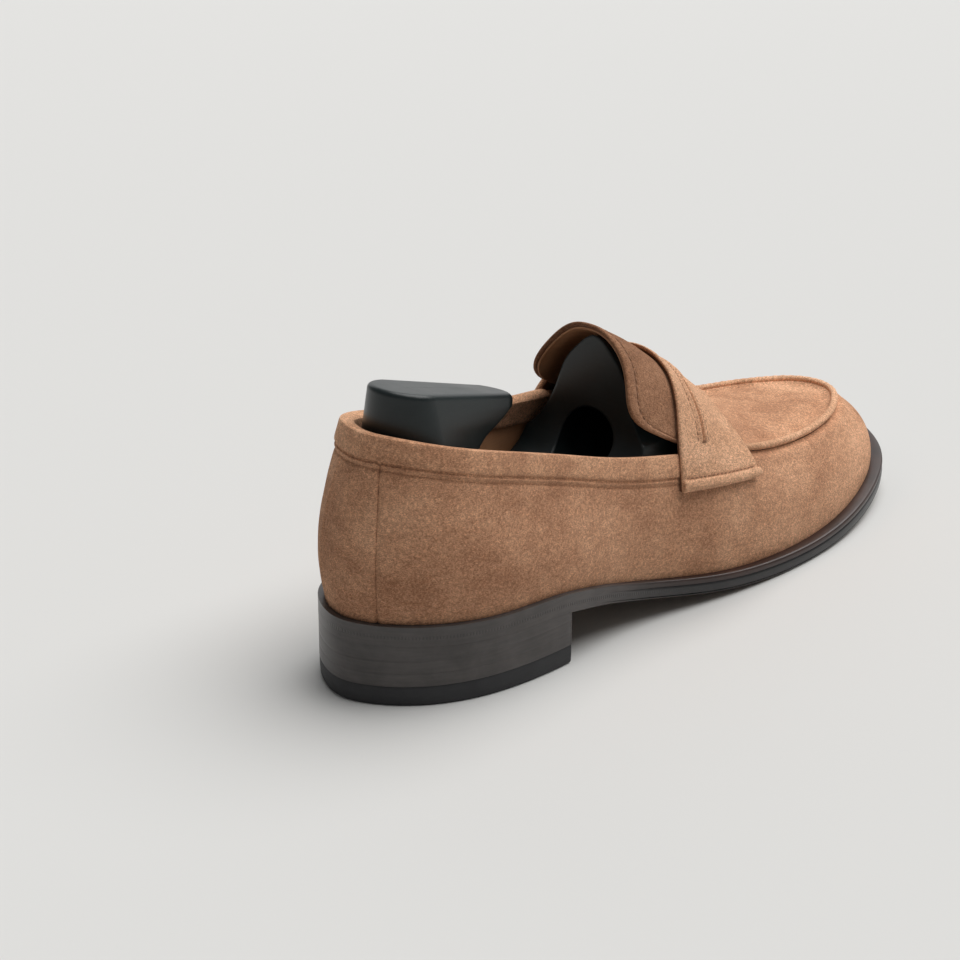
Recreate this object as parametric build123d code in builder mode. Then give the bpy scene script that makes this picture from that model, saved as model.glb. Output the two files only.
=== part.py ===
"""A suede penny loafer for the right foot, with its hinged two-piece shoe tree inside.

Frame: +X towards the toe, -Y the lateral (little toe) side, +Z up, millimetres.
The origin is on the ground, under the middle of the sole's length and width.
"""

from build123d import *
import math
import os

import numpy as np

os.makedirs("parts", exist_ok=True)

# ---------------------------------------------------------------- driving dimensions
SOLE_THICKNESS = 4.5
WELT_THICKNESS = 2.5
INSOLE_THICKNESS = 3.0
SOCK_THICKNESS = 1.0
RUBBER_THICKNESS = 7.2
LIFT_THICKNESS = 4.6
HEEL_BREAST_X = -77.0

UPPER_LEATHER = 1.4  # suede of the upper
BACKER = 1.0  # stiffener, stays, doubler and puff between suede and lining
LINING = 0.9
LAYER_GAP = 0.05
BINDING_HEIGHT = 7.0
BINDING_LEATHER = 0.85
BINDING_GAP = 0.12
SEAM_RADIUS = 1.2

PIVOT_X, PIVOT_Z = -66.0, 41.0  # hinge of the shoe tree
PIN_RADIUS = 2.5
PIN_CLEARANCE = 0.05
LUG_HALF_WIDTH = 5.0
THUMB_HOLE_RADIUS = 12.0

# Edge of the sole in plan: heel centre first, then the lateral side, the toe and the medial side.
SOLE_OUTLINE = [
    (-149, -2.5), (-145.3, -14.5), (-135, -27), (-114, -38), (-77, -42), (-39, -41), (1, -47.5),
    (41, -50.7), (76, -47.5), (106, -38.8), (131, -25), (144.5, -9), (149, 3),
    (145.5, 13), (134, 26), (113, 39), (90, 47.5), (64, 50.8), (38, 47.5), (1, 33), (-39, 23.5),
    (-77, 25.5), (-114, 29), (-135, 21.5), (-145.3, 9.5),
]
SOLE_TOE = 12

# Upper edge of the side wall: the topline at the back, the apron seam in front.
WALL_RIM = [
    (-137, -2, 91), (-134.5, -12, 90.6), (-128, -20.5, 89), (-114.5, -27.5, 85), (-96, -30.7, 79.5),
    (-69, -32.2, 71), (-46, -33.2, 63.5), (-22.5, -34.6, 57.7), (5, -36, 52), (27, -36, 46.4),
    (43, -34.8, 42.6), (60, -33.4, 40.3), (77, -30.4, 38.9), (95, -24.5, 37.7), (109, -17, 37),
    (120, -8, 36.6), (124, 2, 36.5), (121, 11.5, 36.6), (110, 20, 37), (94, 26, 38),
    (77, 29, 39.6), (60, 30.5, 42.3), (45, 31, 46), (27, 31.5, 52), (8, 30.5, 59),
    (-12, 28.5, 64.5), (-37, 27, 68), (-69, 26.7, 74.5), (-96, 26, 80.5), (-114.5, 23, 85.5),
    (-128, 15.8, 89.2), (-134.5, 7, 90.7),
]
RIM_TOE = 16


# ---------------------------------------------------------------- curves
def through(xs, ys):
    """A smooth function through the given stations, flat beyond its ends."""
    xs, ys = np.array(xs, float), np.array(ys, float)
    gap = np.diff(xs)
    chord = np.diff(ys) / gap
    slope = np.empty_like(ys)
    slope[1:-1] = (gap[1:] * chord[:-1] + gap[:-1] * chord[1:]) / (gap[1:] + gap[:-1])
    slope[0], slope[-1] = chord[0], chord[-1]

    def value(x):
        x = np.clip(x, xs[0], xs[-1])
        i = np.clip(np.searchsorted(xs, x, side="right") - 1, 0, len(xs) - 2)
        t = (x - xs[i]) / gap[i]
        rise = (t**3 - 2 * t**2 + t) * slope[i] + (t**3 - t**2) * slope[i + 1]
        return (2 * t**3 - 3 * t**2 + 1) * ys[i] + (3 * t**2 - 2 * t**3) * ys[i + 1] + gap[i] * rise

    return value


def closed_sides(points, toe, steps=40):
    """A smooth closed curve through points, as a lateral and a medial table from heel to toe."""
    p = np.array(points, float)
    count = len(p)
    gap = np.sqrt(np.linalg.norm(np.roll(p, -1, 0) - p, axis=1))
    matrix, right = np.zeros((count, count)), np.zeros(p.shape)
    for i in range(count):
        back, ahead = gap[i - 1], gap[i]
        matrix[i, i - 1] += ahead
        matrix[i, i] += 2 * (back + ahead)
        matrix[i, (i + 1) % count] += back
        rise_ahead = (p[(i + 1) % count] - p[i]) / ahead
        right[i] = 3 * (ahead * (p[i] - p[i - 1]) / back + back * rise_ahead)
    slope = np.linalg.solve(matrix, right)
    t = np.linspace(0, 1, steps, endpoint=False)[:, None]
    spans = []
    for i in range(count):
        j = (i + 1) % count
        bend = (t**3 - 2 * t**2 + t) * slope[i] + (t**3 - t**2) * slope[j]
        spans.append((2 * t**3 - 3 * t**2 + 1) * p[i] + (3 * t**2 - 2 * t**3) * p[j] + gap[i] * bend)
    curve = np.vstack(spans)
    halves = [curve[: steps * toe + 1], np.vstack([curve[steps * toe :], curve[:1]])[::-1]]
    tables = []
    for half in halves:
        run = np.concatenate([[0], np.cumsum(np.linalg.norm(np.diff(half, axis=0), axis=1))])
        even = np.linspace(0, run[-1], len(FRACTIONS))
        tables.append(np.stack([np.interp(even, run, half[:, k]) for k in range(p.shape[1])], 1))
    return {LATERAL: tables[0], MEDIAL: tables[1]}


LATERAL, MEDIAL = -1, 1
FRACTIONS = np.linspace(0, 1, 401)  # share of the way from the heel's back to the toe's tip

sole_underside = through(
    [-149, -114, -77, -59, -39, 1, 41, 66, 91, 121, 149],
    [22.2, 20.9, 19.3, 15.5, 10.3, 2.7, 0.0, 0.2, 1.8, 5.0, 9.0],
)
welt_margin = through([0, 0.1, 0.25, 0.5, 0.65, 0.85, 1], [2.6, 2.4, 2.2, 3.2, 4.4, 4.8, 5.0])
lean_out = through([0, 0.1, 0.3, 0.5, 0.7, 0.9, 1], [14, 14, 12, 10, 4, 4, 6])
lean_in = through([0, 0.1, 0.3, 0.425, 0.51, 0.6, 0.75, 0.86, 1], [16, 15, 14, 20, 34, 45, 50, 55, 60])


def welt_top(x):
    return sole_underside(x) + SOLE_THICKNESS + WELT_THICKNESS


OUTLINE = closed_sides(SOLE_OUTLINE, SOLE_TOE)
RIM = closed_sides(WALL_RIM, RIM_TOE)


def inset_table(side, margin):
    """The sole's outline moved inwards by margin, a number or one value for each fraction."""
    table = OUTLINE[side]
    along = np.gradient(table, axis=0)
    along /= np.linalg.norm(along, axis=1)[:, None]
    inwards = np.stack([-along[:, 1], along[:, 0]], 1) * -side
    return table + inwards * np.reshape(margin, (-1, 1))


FEATHER = {side: inset_table(side, welt_margin(FRACTIONS)) for side in (LATERAL, MEDIAL)}


TOE_FAN = 0.86  # beyond this fraction the wall's planes fan out evenly round the pointed toe


def rim_above(side, overlap=60):
    """For each fraction, the rim's point in the upright plane square to the sole's edge there."""
    own, other = RIM[side], RIM[-side]
    rim = np.vstack([other[overlap:0:-1], own])
    along = np.gradient(OUTLINE[side], axis=0)
    places = []
    for s, foot, direction in zip(FRACTIONS, FEATHER[side], along):
        if s > TOE_FAN:
            break
        ahead = (rim[:, :2] - foot) @ direction
        crossings = np.flatnonzero((ahead[:-1] <= 0) & (ahead[1:] > 0))
        gaps = np.linalg.norm(rim[crossings, :2] - foot, axis=1)
        k = crossings[np.argmin(gaps)]
        places.append(k - ahead[k] / (ahead[k + 1] - ahead[k]))
    fan = np.linspace(places[-1], len(rim) - 1, len(FRACTIONS) - len(places) + 1)[1:]
    places = np.concatenate([places, fan])
    return np.stack([np.interp(places, np.arange(len(rim)), rim[:, k]) for k in range(3)], 1)


WALL_TOP = {side: rim_above(side) for side in (LATERAL, MEDIAL)}


def inwards_at(side, s):
    """Unit plan direction of the wall's plane, towards the middle of the shoe."""
    if s > TOE_FAN:
        reach = at(WALL_TOP[side], s)[:2] - at(FEATHER[side], s)
        return reach / np.linalg.norm(reach)
    along = at(np.gradient(OUTLINE[side], axis=0), s)
    return np.array([-along[1], along[0]]) * -side / np.linalg.norm(along)


def at(table, s):
    return np.array([np.interp(s, FRACTIONS, table[:, k]) for k in range(table.shape[1])])


def plan_loop(margin, count=22):
    """Points round the sole's outline, moved inwards by margin, a number or one per fraction."""
    loop = []
    for side, order in ((LATERAL, 1), (MEDIAL, -1)):
        table = inset_table(side, margin)
        # closer together at the two ends, where the outline turns
        shares = 0.5 - 0.5 * np.cos(math.pi * np.linspace(0, 1, count))
        points = [tuple(at(table, s)) for s in shares][::order]
        loop += points[:-1]
    return loop


# ---------------------------------------------------------------- side wall of the upper
class WallFrame:
    """The upright plane across the side wall at one fraction of the way round a side.

    Local x points outwards from the feather line, local y upwards. The wall's outer face is
    a cubic from the feather line (v = 0) to the rim (v = 1).
    """

    def __init__(self, side, s):
        foot = at(FEATHER[side], s)
        rim = at(WALL_TOP[side], s)
        floor = welt_top(foot[0]) + LAYER_GAP
        outwards = -inwards_at(side, s)
        span = (foot - rim[:2]) @ outwards
        self.plane = Plane(
            origin=(foot[0], foot[1], floor),
            x_dir=(outwards[0], outwards[1], 0),
            z_dir=(outwards[1], -outwards[0], 0),
        )
        end = np.array([-span, rim[2] - floor])
        handle = 0.36 * np.linalg.norm(end)
        out, lean = math.radians(lean_out(s)), math.radians(lean_in(s))
        self.poles = [
            np.zeros(2),
            handle * np.array([math.sin(out), math.cos(out)]),
            end + handle * np.array([math.sin(lean), -math.cos(lean)]),
            end,
        ]
        self.length = np.linalg.norm(end)

    def point(self, v, depth, rise=0.0):
        """The point at v, depth inside the outer face and rise further along the wall."""
        a, b, c, d = self.poles
        base = (1 - v) ** 3 * a + 3 * v * (1 - v) ** 2 * b + 3 * v**2 * (1 - v) * c + v**3 * d
        along = (1 - v) ** 2 * (b - a) + 2 * v * (1 - v) * (c - b) + v**2 * (d - c)
        along /= np.linalg.norm(along)
        inwards = np.array([-along[1], along[0]])
        return tuple(base + depth * inwards + rise * along)

    def below_rim(self, distance):
        return 1 - distance / self.length


def wall_section(side, s, low, high, outer, inner, count=6):
    """A strip across the wall's plane, from v = low to high and from depth outer to inner."""
    frame = WallFrame(side, s)
    with BuildSketch(frame.plane) as section:
        with BuildLine():
            vs = np.linspace(low, high, count)
            face = Spline(*[frame.point(v, outer) for v in vs])
            back = Spline(*[frame.point(v, inner) for v in vs])
            Line(face @ 0, back @ 0)
            Line(face @ 1, back @ 1)
        make_face()
    return section.sketch


# Fractions at which wall pieces get a section: close together where the plan turns.
HEEL_STATIONS, TOE_STATIONS = [0, 0.02, 0.04, 0.065, 0.09, 0.12], [0.82, 0.86, 0.9, 0.935, 0.97, 1]
WALL_STATIONS = [*HEEL_STATIONS, *np.arange(0.17, 0.8, 0.06), *TOE_STATIONS]


def stations_between(start, end):
    inner = [s for s in WALL_STATIONS if start + 0.005 < s < end - 0.005]
    return [start] + inner + [end]


def round_heel(end):
    """(side, fraction) pairs from the lateral end, round the heel, to the medial end."""
    lateral = [(LATERAL, s) for s in stations_between(0, end)][::-1]
    return lateral + [(MEDIAL, s) for s in stations_between(0, end)[1:]]


def round_toe(start):
    """(side, fraction) pairs from the lateral start, round the toe, to the medial start."""
    lateral = [(LATERAL, s) for s in stations_between(start, 1)]
    return lateral + [(MEDIAL, s) for s in stations_between(start, 1)[-2::-1]]


def along_side(side, start, end):
    return [(side, s) for s in stations_between(start, end)]


# ---------------------------------------------------------------- top of the upper
CREST_Y = -0.5
crest = through(
    [-60, -31, -17.5, -6, 5, 17, 26.5, 35, 43, 52, 62, 80, 100, 124, 135],
    [118, 104, 97.2, 90.6, 82.8, 74.0, 66.6, 59.8, 53.2, 48.6, 45.3, 41.5, 39.2, 36.7, 36.0],
)
half_width = {
    LATERAL: through([-46, -22.5, 5, 43, 130], [32.7, 34.1, 35.5, 35.0, 35.0]),
    MEDIAL: through([-37, -12, 8, 27, 130], [27.5, 29.0, 31.0, 32.0, 31.5]),
}
drop = {
    LATERAL: through(
        [-60, -22.5, -6, 5, 27, 43, 60, 77, 95, 130], [60, 42.5, 36.3, 30.8, 19.9, 11, 6.3, 4.1, 4.5, 6]
    ),
    MEDIAL: through([-60, -37, -12, 8, 27, 45, 60, 77, 130], [48, 39.5, 29.5, 22, 14.3, 6, 3.8, 2.8, 3]),
}
roof = through([-60, -5, 10, 25, 45, 60, 80, 130], [0, 0, 0.25, 0.8, 0.9, 0.6, 0.2, 0])
ARCH_POWER = 2.15
ROOF_ROUNDING = 0.2


def arch_point(x, t, offset):
    """(y, z) on the top of the upper at x; t is -1 at the lateral rim and 1 at the medial rim.

    Positive offsets stand out from the suede's face, square to it in the section plane.
    """

    def surface(q):
        side = LATERAL if q < 0 else MEDIAL
        rounded = math.sqrt(q * q + ROOF_ROUNDING**2) - ROOF_ROUNDING
        rounded /= math.sqrt(1 + ROOF_ROUNDING**2) - ROOF_ROUNDING
        shape = (1 - roof(x)) * abs(q) ** ARCH_POWER + roof(x) * rounded
        return np.array([CREST_Y + q * half_width[side](x), crest(x) - drop[side](x) * shape])

    step = 0.01
    along = surface(t + step) - surface(t - step)
    along /= np.linalg.norm(along)
    outwards = np.array([-along[1], along[0]])
    return tuple(surface(t) + offset * outwards)


def arch_section(x, low, high, outer, inner, count=13):
    """A strip across the top of the upper at x, from t = low to high."""
    with BuildSketch(Plane((x, 0, 0), x_dir=(0, 1, 0), z_dir=(1, 0, 0))) as section:
        with BuildLine():
            ts = np.linspace(low, high, count)
            face = Spline(*[arch_point(x, t, outer) for t in ts])
            back = Spline(*[arch_point(x, t, inner) for t in ts])
            Line(face @ 0, back @ 0)
            Line(face @ 1, back @ 1)
        make_face()
    return section.sketch


# Outlines that cut the top pieces out, in plan or from the side.
def rim_plan(start_x, margin):
    """Plan points of the apron's outline, from the lateral start round the toe to the medial start."""
    loop = []
    for side, order in ((LATERAL, 1), (MEDIAL, -1)):
        table = RIM[side]
        along = np.gradient(table[:, :2], axis=0)
        along /= np.linalg.norm(along, axis=1)[:, None]
        inset = table[:, :2] + np.stack([-along[:, 1], along[:, 0]], 1) * -side * margin
        first = np.interp(start_x, table[:, 0], FRACTIONS)
        shares = first + (1 - first) * np.sin(np.linspace(0, math.pi / 2, 12))
        points = [tuple(at(inset, s)) for s in shares][::order]
        loop += points if side == LATERAL else points[1:]
    return loop


STRAP_REAR = [(-24, -50), (-15.5, -38.2), (-12, -34), (-5, -26.5), (0.5, -19), (4.5, -9), (5.5, 0)]
STRAP_FRONT = [(25, -50), (24.6, -37.5), (25.5, -30), (27.5, -19.5), (33, -10.5), (42, 0)]
SLOT_LINE = [(-1.2, -36.8), (0.6, -34.2), (4.2, -28.6), (7.2, -22.3), (11.5, -14.5), (15.5, -7), (17, 0)]
STRAP_JOINT_X = 20.0  # where the tongue ends and the apron begins, under the strap


MEDIAL_SHARE = 0.82  # the medial half of the strap is narrower than the lateral half


def mirrored(points):
    """Plan points from the lateral edge to the crest, carried on to the medial edge."""
    return points + [(x, CREST_Y + MEDIAL_SHARE * (CREST_Y - y)) for x, y in points[-2::-1]]


# ---------------------------------------------------------------- bottom of the shoe
SIDE_END_X = 150.0  # side views of the sole run this far fore and aft of the origin
SIDE_REACH = 70.0  # and are extruded this far to either side
PLAN_FOOT, PLAN_DEPTH = -20.0, 80.0  # plan views are extruded over this range of heights


def side_view(lower, upper, count=16):
    """A face in the side view between two heights given as functions of x."""
    with BuildSketch(Plane.XZ.offset(-SIDE_REACH)) as profile:
        with BuildLine():
            xs = np.linspace(-SIDE_END_X, SIDE_END_X, count)
            under = Spline(*[(x, lower(x)) for x in xs])
            over = Spline(*[(x, upper(x)) for x in xs])
            Line(under @ 0, over @ 0)
            Line(under @ 1, over @ 1)
        make_face()
    return profile.sketch


def plan_view(points):
    with BuildSketch(Plane.XY.offset(PLAN_FOOT)) as plan:
        with BuildLine():
            Spline(*points, periodic=True)
        make_face()
    return plan.sketch


def sole_top(x):
    return sole_underside(x) + SOLE_THICKNESS


def insole_underside(x):
    return welt_top(x) + LAYER_GAP


def insole_top(x):
    return insole_underside(x) + INSOLE_THICKNESS


def sock_top(x):
    return insole_top(x) + SOCK_THICKNESS


WELT_SETBACK, WELT_OVERLAP, CORK_GAP, SOCK_SETBACK = 0.1, 4.0, 0.2, 0.3
WELT_MARGINS = welt_margin(FRACTIONS)  # from the sole's edge to the foot of the upper
INSOLE_GAP = 0.5  # between the insole's edge and the lining
INSOLE_MARGINS = WELT_MARGINS + UPPER_LEATHER + BACKER + LINING + 2 * LAYER_GAP + INSOLE_GAP

NAIL_SPOTS = [(-134, -3), (-127, -17), (-127, 12), (-110, -25), (-110, 16), (-90, -27), (-90, 13)]
NAIL_HOLE, NAIL_RADIUS = 1.1, 1.08

with BuildPart() as outsole:
    extrude(plan_view(plan_loop(0)), amount=PLAN_DEPTH)
    extrude(side_view(sole_underside, sole_top), amount=2 * SIDE_REACH, mode=Mode.INTERSECT)
    with Locations([(x, y, 0) for x, y in NAIL_SPOTS]):
        Cylinder(radius=NAIL_HOLE, height=PLAN_DEPTH, mode=Mode.SUBTRACT)
outsole.part.label = "outsole"
export_step(outsole.part, "parts/outsole.step")

with BuildPart() as welt:
    extrude(plan_view(plan_loop(WELT_SETBACK)), amount=PLAN_DEPTH)
    extrude(plan_view(plan_loop(WELT_MARGINS + WELT_OVERLAP)), amount=PLAN_DEPTH, mode=Mode.SUBTRACT)
    extrude(side_view(sole_top, welt_top), amount=2 * SIDE_REACH, mode=Mode.INTERSECT)
welt.part.label = "welt"
export_step(welt.part, "parts/welt.step")

SHANK_START, SHANK_END, SHANK_HALF_WIDTH, SHANK_THICKNESS = -112.0, -8.0, 6.0, 1.2
SHANK_MIDDLE = ((SHANK_START + SHANK_END) / 2, -6)
SHANK_ROOM = 0.6  # more in length and width for the shank's slot in the cork


def shank_top(x):
    return sole_top(x) + SHANK_THICKNESS


with BuildPart() as cork_filler:
    extrude(plan_view(plan_loop(WELT_MARGINS + WELT_OVERLAP + CORK_GAP)), amount=PLAN_DEPTH)
    extrude(side_view(sole_top, welt_top), amount=2 * SIDE_REACH, mode=Mode.INTERSECT)
    with BuildSketch(Plane.XY.offset(PLAN_FOOT)):
        with Locations(SHANK_MIDDLE):
            SlotOverall(SHANK_END - SHANK_START + SHANK_ROOM, 2 * SHANK_HALF_WIDTH + SHANK_ROOM)
    extrude(amount=PLAN_DEPTH, mode=Mode.SUBTRACT)
    with Locations([(x, y, 0) for x, y in NAIL_SPOTS]):
        Cylinder(radius=NAIL_HOLE, height=PLAN_DEPTH, mode=Mode.SUBTRACT)
cork_filler.part.label = "cork_filler"
export_step(cork_filler.part, "parts/cork_filler.step")

with BuildPart() as shank:
    with BuildSketch(Plane.XY.offset(PLAN_FOOT)):
        with Locations(SHANK_MIDDLE):
            SlotOverall(SHANK_END - SHANK_START, 2 * SHANK_HALF_WIDTH)
    extrude(amount=PLAN_DEPTH)
    extrude(side_view(sole_top, shank_top), amount=2 * SIDE_REACH, mode=Mode.INTERSECT)
shank.part.label = "shank"
export_step(shank.part, "parts/shank.step")

with BuildPart() as insole:
    extrude(plan_view(plan_loop(INSOLE_MARGINS)), amount=PLAN_DEPTH)
    extrude(side_view(insole_underside, insole_top), amount=2 * SIDE_REACH, mode=Mode.INTERSECT)
insole.part.label = "insole"
export_step(insole.part, "parts/insole.step")

with BuildPart() as sock_liner:
    extrude(plan_view(plan_loop(INSOLE_MARGINS + SOCK_SETBACK)), amount=PLAN_DEPTH)
    extrude(side_view(insole_top, sock_top), amount=2 * SIDE_REACH, mode=Mode.INTERSECT)
sock_liner.part.label = "sock_liner"
export_step(sock_liner.part, "parts/sock_liner.step")

# ---------------------------------------------------------------- heel
SEAT_LEVEL = RUBBER_THICKNESS + 2 * LIFT_THICKNESS  # under the wedge that meets the outsole
HEEL_NAIL_FOOT = RUBBER_THICKNESS + 1.5
BRAD_SPOTS = [(-139, -3), (-131, -20), (-131, 14.5), (-112, -31), (-112, 21.5), (-85, -34.5)]
BRAD_SPOTS += [(-85, 18), (-85, -8)]
BRAD_RADIUS, BRAD_FIT, BRAD_TOP, BRAD_RECESS = 1.2, 0.02, 14.0, 0.3
HEEL_SETBACK = 0.15  # of the heel's wall from the sole's edge
UPWARDS = (Align.CENTER, Align.CENTER, Align.MIN)


def heel_plan(height):
    """The D of the heel: the sole's back end, cut square at the breast."""
    with BuildSketch(Plane.XY.offset(height)) as plan:
        with BuildLine():
            Spline(*plan_loop(HEEL_SETBACK), periodic=True)
        make_face()
        with Locations((HEEL_BREAST_X, 0)):
            Rectangle(2 * SIDE_END_X, 2 * SIDE_REACH, align=(Align.MIN, Align.CENTER), mode=Mode.SUBTRACT)
    return plan.sketch


def heel_block_of(foot, head):
    """One layer of the heel with its nail and brad holes."""
    with BuildPart() as layer:
        extrude(heel_plan(foot), amount=head - foot)
        with Locations([(x, y, HEEL_NAIL_FOOT) for x, y in NAIL_SPOTS]):
            Cylinder(NAIL_HOLE, PLAN_DEPTH, align=UPWARDS, mode=Mode.SUBTRACT)
        with Locations([(x, y, 0) for x, y in BRAD_SPOTS]):
            Cylinder(BRAD_RADIUS + BRAD_FIT, BRAD_TOP, align=UPWARDS, mode=Mode.SUBTRACT)
    return layer.part


with BuildPart() as rubber_top_lift:
    add(heel_block_of(0, RUBBER_THICKNESS))
rubber_top_lift.part.label = "rubber_top_lift"
export_step(rubber_top_lift.part, "parts/rubber_top_lift.step")

with BuildPart() as heel_lift_lower:
    add(heel_block_of(RUBBER_THICKNESS, RUBBER_THICKNESS + LIFT_THICKNESS))
heel_lift_lower.part.label = "heel_lift_lower"
export_step(heel_lift_lower.part, "parts/heel_lift_lower.step")

with BuildPart() as heel_lift_upper:
    add(heel_block_of(RUBBER_THICKNESS + LIFT_THICKNESS, SEAT_LEVEL))
heel_lift_upper.part.label = "heel_lift_upper"
export_step(heel_lift_upper.part, "parts/heel_lift_upper.step")

with BuildPart() as heel_seat_lift:
    add(heel_block_of(SEAT_LEVEL, float(sole_underside(-SIDE_END_X))))
    extrude(side_view(sole_underside, sole_top), amount=2 * SIDE_REACH, mode=Mode.SUBTRACT)
heel_seat_lift.part.label = "heel_seat_lift"
export_step(heel_seat_lift.part, "parts/heel_seat_lift.step")

with BuildPart() as heel_nails:
    for x, y in NAIL_SPOTS:
        with Locations((x, y, HEEL_NAIL_FOOT)):
            Cylinder(NAIL_RADIUS, float(welt_top(x)) - 0.1 - HEEL_NAIL_FOOT, align=UPWARDS)
heel_nails.part.label = "heel_nails"
export_step(heel_nails.part, "parts/heel_nails.step")

with BuildPart() as top_lift_brads:
    with Locations([(x, y, BRAD_RECESS) for x, y in BRAD_SPOTS]):
        Cylinder(BRAD_RADIUS, BRAD_TOP - BRAD_RECESS, align=UPWARDS)
top_lift_brads.part.label = "top_lift_brads"
export_step(top_lift_brads.part, "parts/top_lift_brads.step")

# ---------------------------------------------------------------- side wall pieces
BACKER_FACE = UPPER_LEATHER + LAYER_GAP
BACKER_BACK = BACKER_FACE + BACKER
LINING_FACE = BACKER_BACK + LAYER_GAP
LINING_BACK = LINING_FACE + LINING

COUNTER_SEAM = 0.04  # fraction where the heel strip meets the one-piece wall
SEAM_GAP = 0.001
STIFFENER_END, STAY_END, PUFF_START = 0.29, 0.53, 0.77
LINING_SEAM = 0.47
BINDING_END_X = -15.8  # the binding meets the saddle strap here


def rim_fraction(side, x):
    return float(np.interp(x, WALL_TOP[side][:, 0], FRACTIONS))


def wall_sections(places, low, high, outer, inner):
    return [wall_section(side, s, low, high, outer, inner) for side, s in places]


with BuildPart() as vamp:
    loft(wall_sections(round_toe(COUNTER_SEAM + SEAM_GAP), 0, 1, 0, UPPER_LEATHER), ruled=True)
vamp.part.label = "vamp"
export_step(vamp.part, "parts/vamp.step")

with BuildPart() as heel_strip:
    loft(wall_sections(round_heel(COUNTER_SEAM - SEAM_GAP), 0, 1, 0, UPPER_LEATHER), ruled=True)
heel_strip.part.label = "heel_strip"
export_step(heel_strip.part, "parts/heel_strip.step")

with BuildPart() as heel_stiffener:
    loft(wall_sections(round_heel(STIFFENER_END), 0.01, 0.74, BACKER_FACE, BACKER_BACK), ruled=True)
heel_stiffener.part.label = "heel_stiffener"
export_step(heel_stiffener.part, "parts/heel_stiffener.step")

with BuildPart() as lateral_stay:
    places = along_side(LATERAL, STIFFENER_END + SEAM_GAP, STAY_END)
    loft(wall_sections(places, 0.25, 0.97, BACKER_FACE, BACKER_BACK), ruled=True)
lateral_stay.part.label = "lateral_stay"
export_step(lateral_stay.part, "parts/lateral_stay.step")

with BuildPart() as medial_stay:
    places = along_side(MEDIAL, STIFFENER_END + SEAM_GAP, STAY_END)
    loft(wall_sections(places, 0.25, 0.97, BACKER_FACE, BACKER_BACK), ruled=True)
medial_stay.part.label = "medial_stay"
export_step(medial_stay.part, "parts/medial_stay.step")

with BuildPart() as vamp_doublers:
    for doubler_side in (LATERAL, MEDIAL):
        places = along_side(doubler_side, STAY_END + SEAM_GAP, PUFF_START - SEAM_GAP)
        loft(wall_sections(places, 0.05, 0.92, BACKER_FACE, BACKER_BACK), ruled=True)
vamp_doublers.part.label = "vamp_doublers"
export_step(vamp_doublers.part, "parts/vamp_doublers.step")

with BuildPart() as toe_puff:
    loft(wall_sections(round_toe(PUFF_START), 0.01, 0.92, BACKER_FACE, BACKER_BACK), ruled=True)
toe_puff.part.label = "toe_puff"
export_step(toe_puff.part, "parts/toe_puff.step")

with BuildPart() as quarter_lining:
    loft(wall_sections(round_heel(LINING_SEAM - SEAM_GAP), 0, 0.985, LINING_FACE, LINING_BACK), ruled=True)
quarter_lining.part.label = "quarter_lining"
export_step(quarter_lining.part, "parts/quarter_lining.step")

with BuildPart() as vamp_lining:
    loft(wall_sections(round_toe(LINING_SEAM + SEAM_GAP), 0, 0.93, LINING_FACE, LINING_BACK), ruled=True)
vamp_lining.part.label = "vamp_lining"
export_step(vamp_lining.part, "parts/vamp_lining.step")


def binding_section(side, s):
    """A hook over the topline: down the outside of the suede and down the inside of the lining."""
    frame = WallFrame(side, s)
    outside, inside = -BINDING_GAP, LINING_BACK + BINDING_GAP
    skin = BINDING_LEATHER
    foot = frame.below_rim(BINDING_HEIGHT)
    middle = (foot + 1) / 2
    corners = [
        frame.point(foot, outside),
        frame.point(middle, outside),
        frame.point(1, outside, BINDING_GAP),
        frame.point(1, inside, BINDING_GAP),
        frame.point(middle, inside),
        frame.point(foot, inside),
        frame.point(foot, inside + skin),
        frame.point(middle, inside + skin),
        frame.point(1, inside + skin, skin),
        frame.point(1, outside - skin, skin),
        frame.point(middle, outside - skin),
        frame.point(foot, outside - skin),
    ]
    with BuildSketch(frame.plane) as section:
        with BuildLine():
            Polyline(*corners, close=True)
        make_face()
    return section.sketch


with BuildPart() as topline_binding:
    lateral_end = rim_fraction(LATERAL, BINDING_END_X)
    medial_end = rim_fraction(MEDIAL, BINDING_END_X)
    lateral_places = along_side(LATERAL, 0, lateral_end)[::-1]
    places = lateral_places + along_side(MEDIAL, 0, medial_end)[1:]
    loft([binding_section(side, s) for side, s in places], ruled=True)
topline_binding.part.label = "topline_binding"
export_step(topline_binding.part, "parts/topline_binding.step")

# ---------------------------------------------------------------- top pieces
APRON_MARGIN = 1.9
APRON_STATIONS = [20.2, 27, 35, 43, 52, 62, 74, 88, 104, 128]
APRON_LINING_MARGIN = 2.9
TONGUE_STATIONS = [-34, -26, -17, -8, 2, 11, 19.8]
TONGUE_SHARE = 0.94  # of the way from the crest to the rim
SEAM_INSET, SEAM_LIFT, SEAM_START_X = 1.0, 1.5, 27


def rim_prism(margin):
    points = rim_plan(STRAP_JOINT_X, margin)
    with BuildSketch(Plane.XY) as plan:
        with BuildLine():
            edge = Spline(*points)
            Line(edge @ 1, edge @ 0)
        make_face()
    return plan.sketch


with BuildPart() as apron:
    loft([arch_section(x, -1.02, 1.02, 0, -UPPER_LEATHER) for x in APRON_STATIONS])
    extrude(rim_prism(APRON_MARGIN), amount=120, mode=Mode.INTERSECT)
apron.part.label = "apron"
export_step(apron.part, "parts/apron.step")

with BuildPart() as apron_lining:
    loft([arch_section(x, -1.02, 1.02, -BACKER_FACE, -BACKER_FACE - LINING) for x in APRON_STATIONS])
    extrude(rim_prism(APRON_LINING_MARGIN), amount=120, mode=Mode.INTERSECT)
apron_lining.part.label = "apron_lining"
export_step(apron_lining.part, "parts/apron_lining.step")

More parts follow.
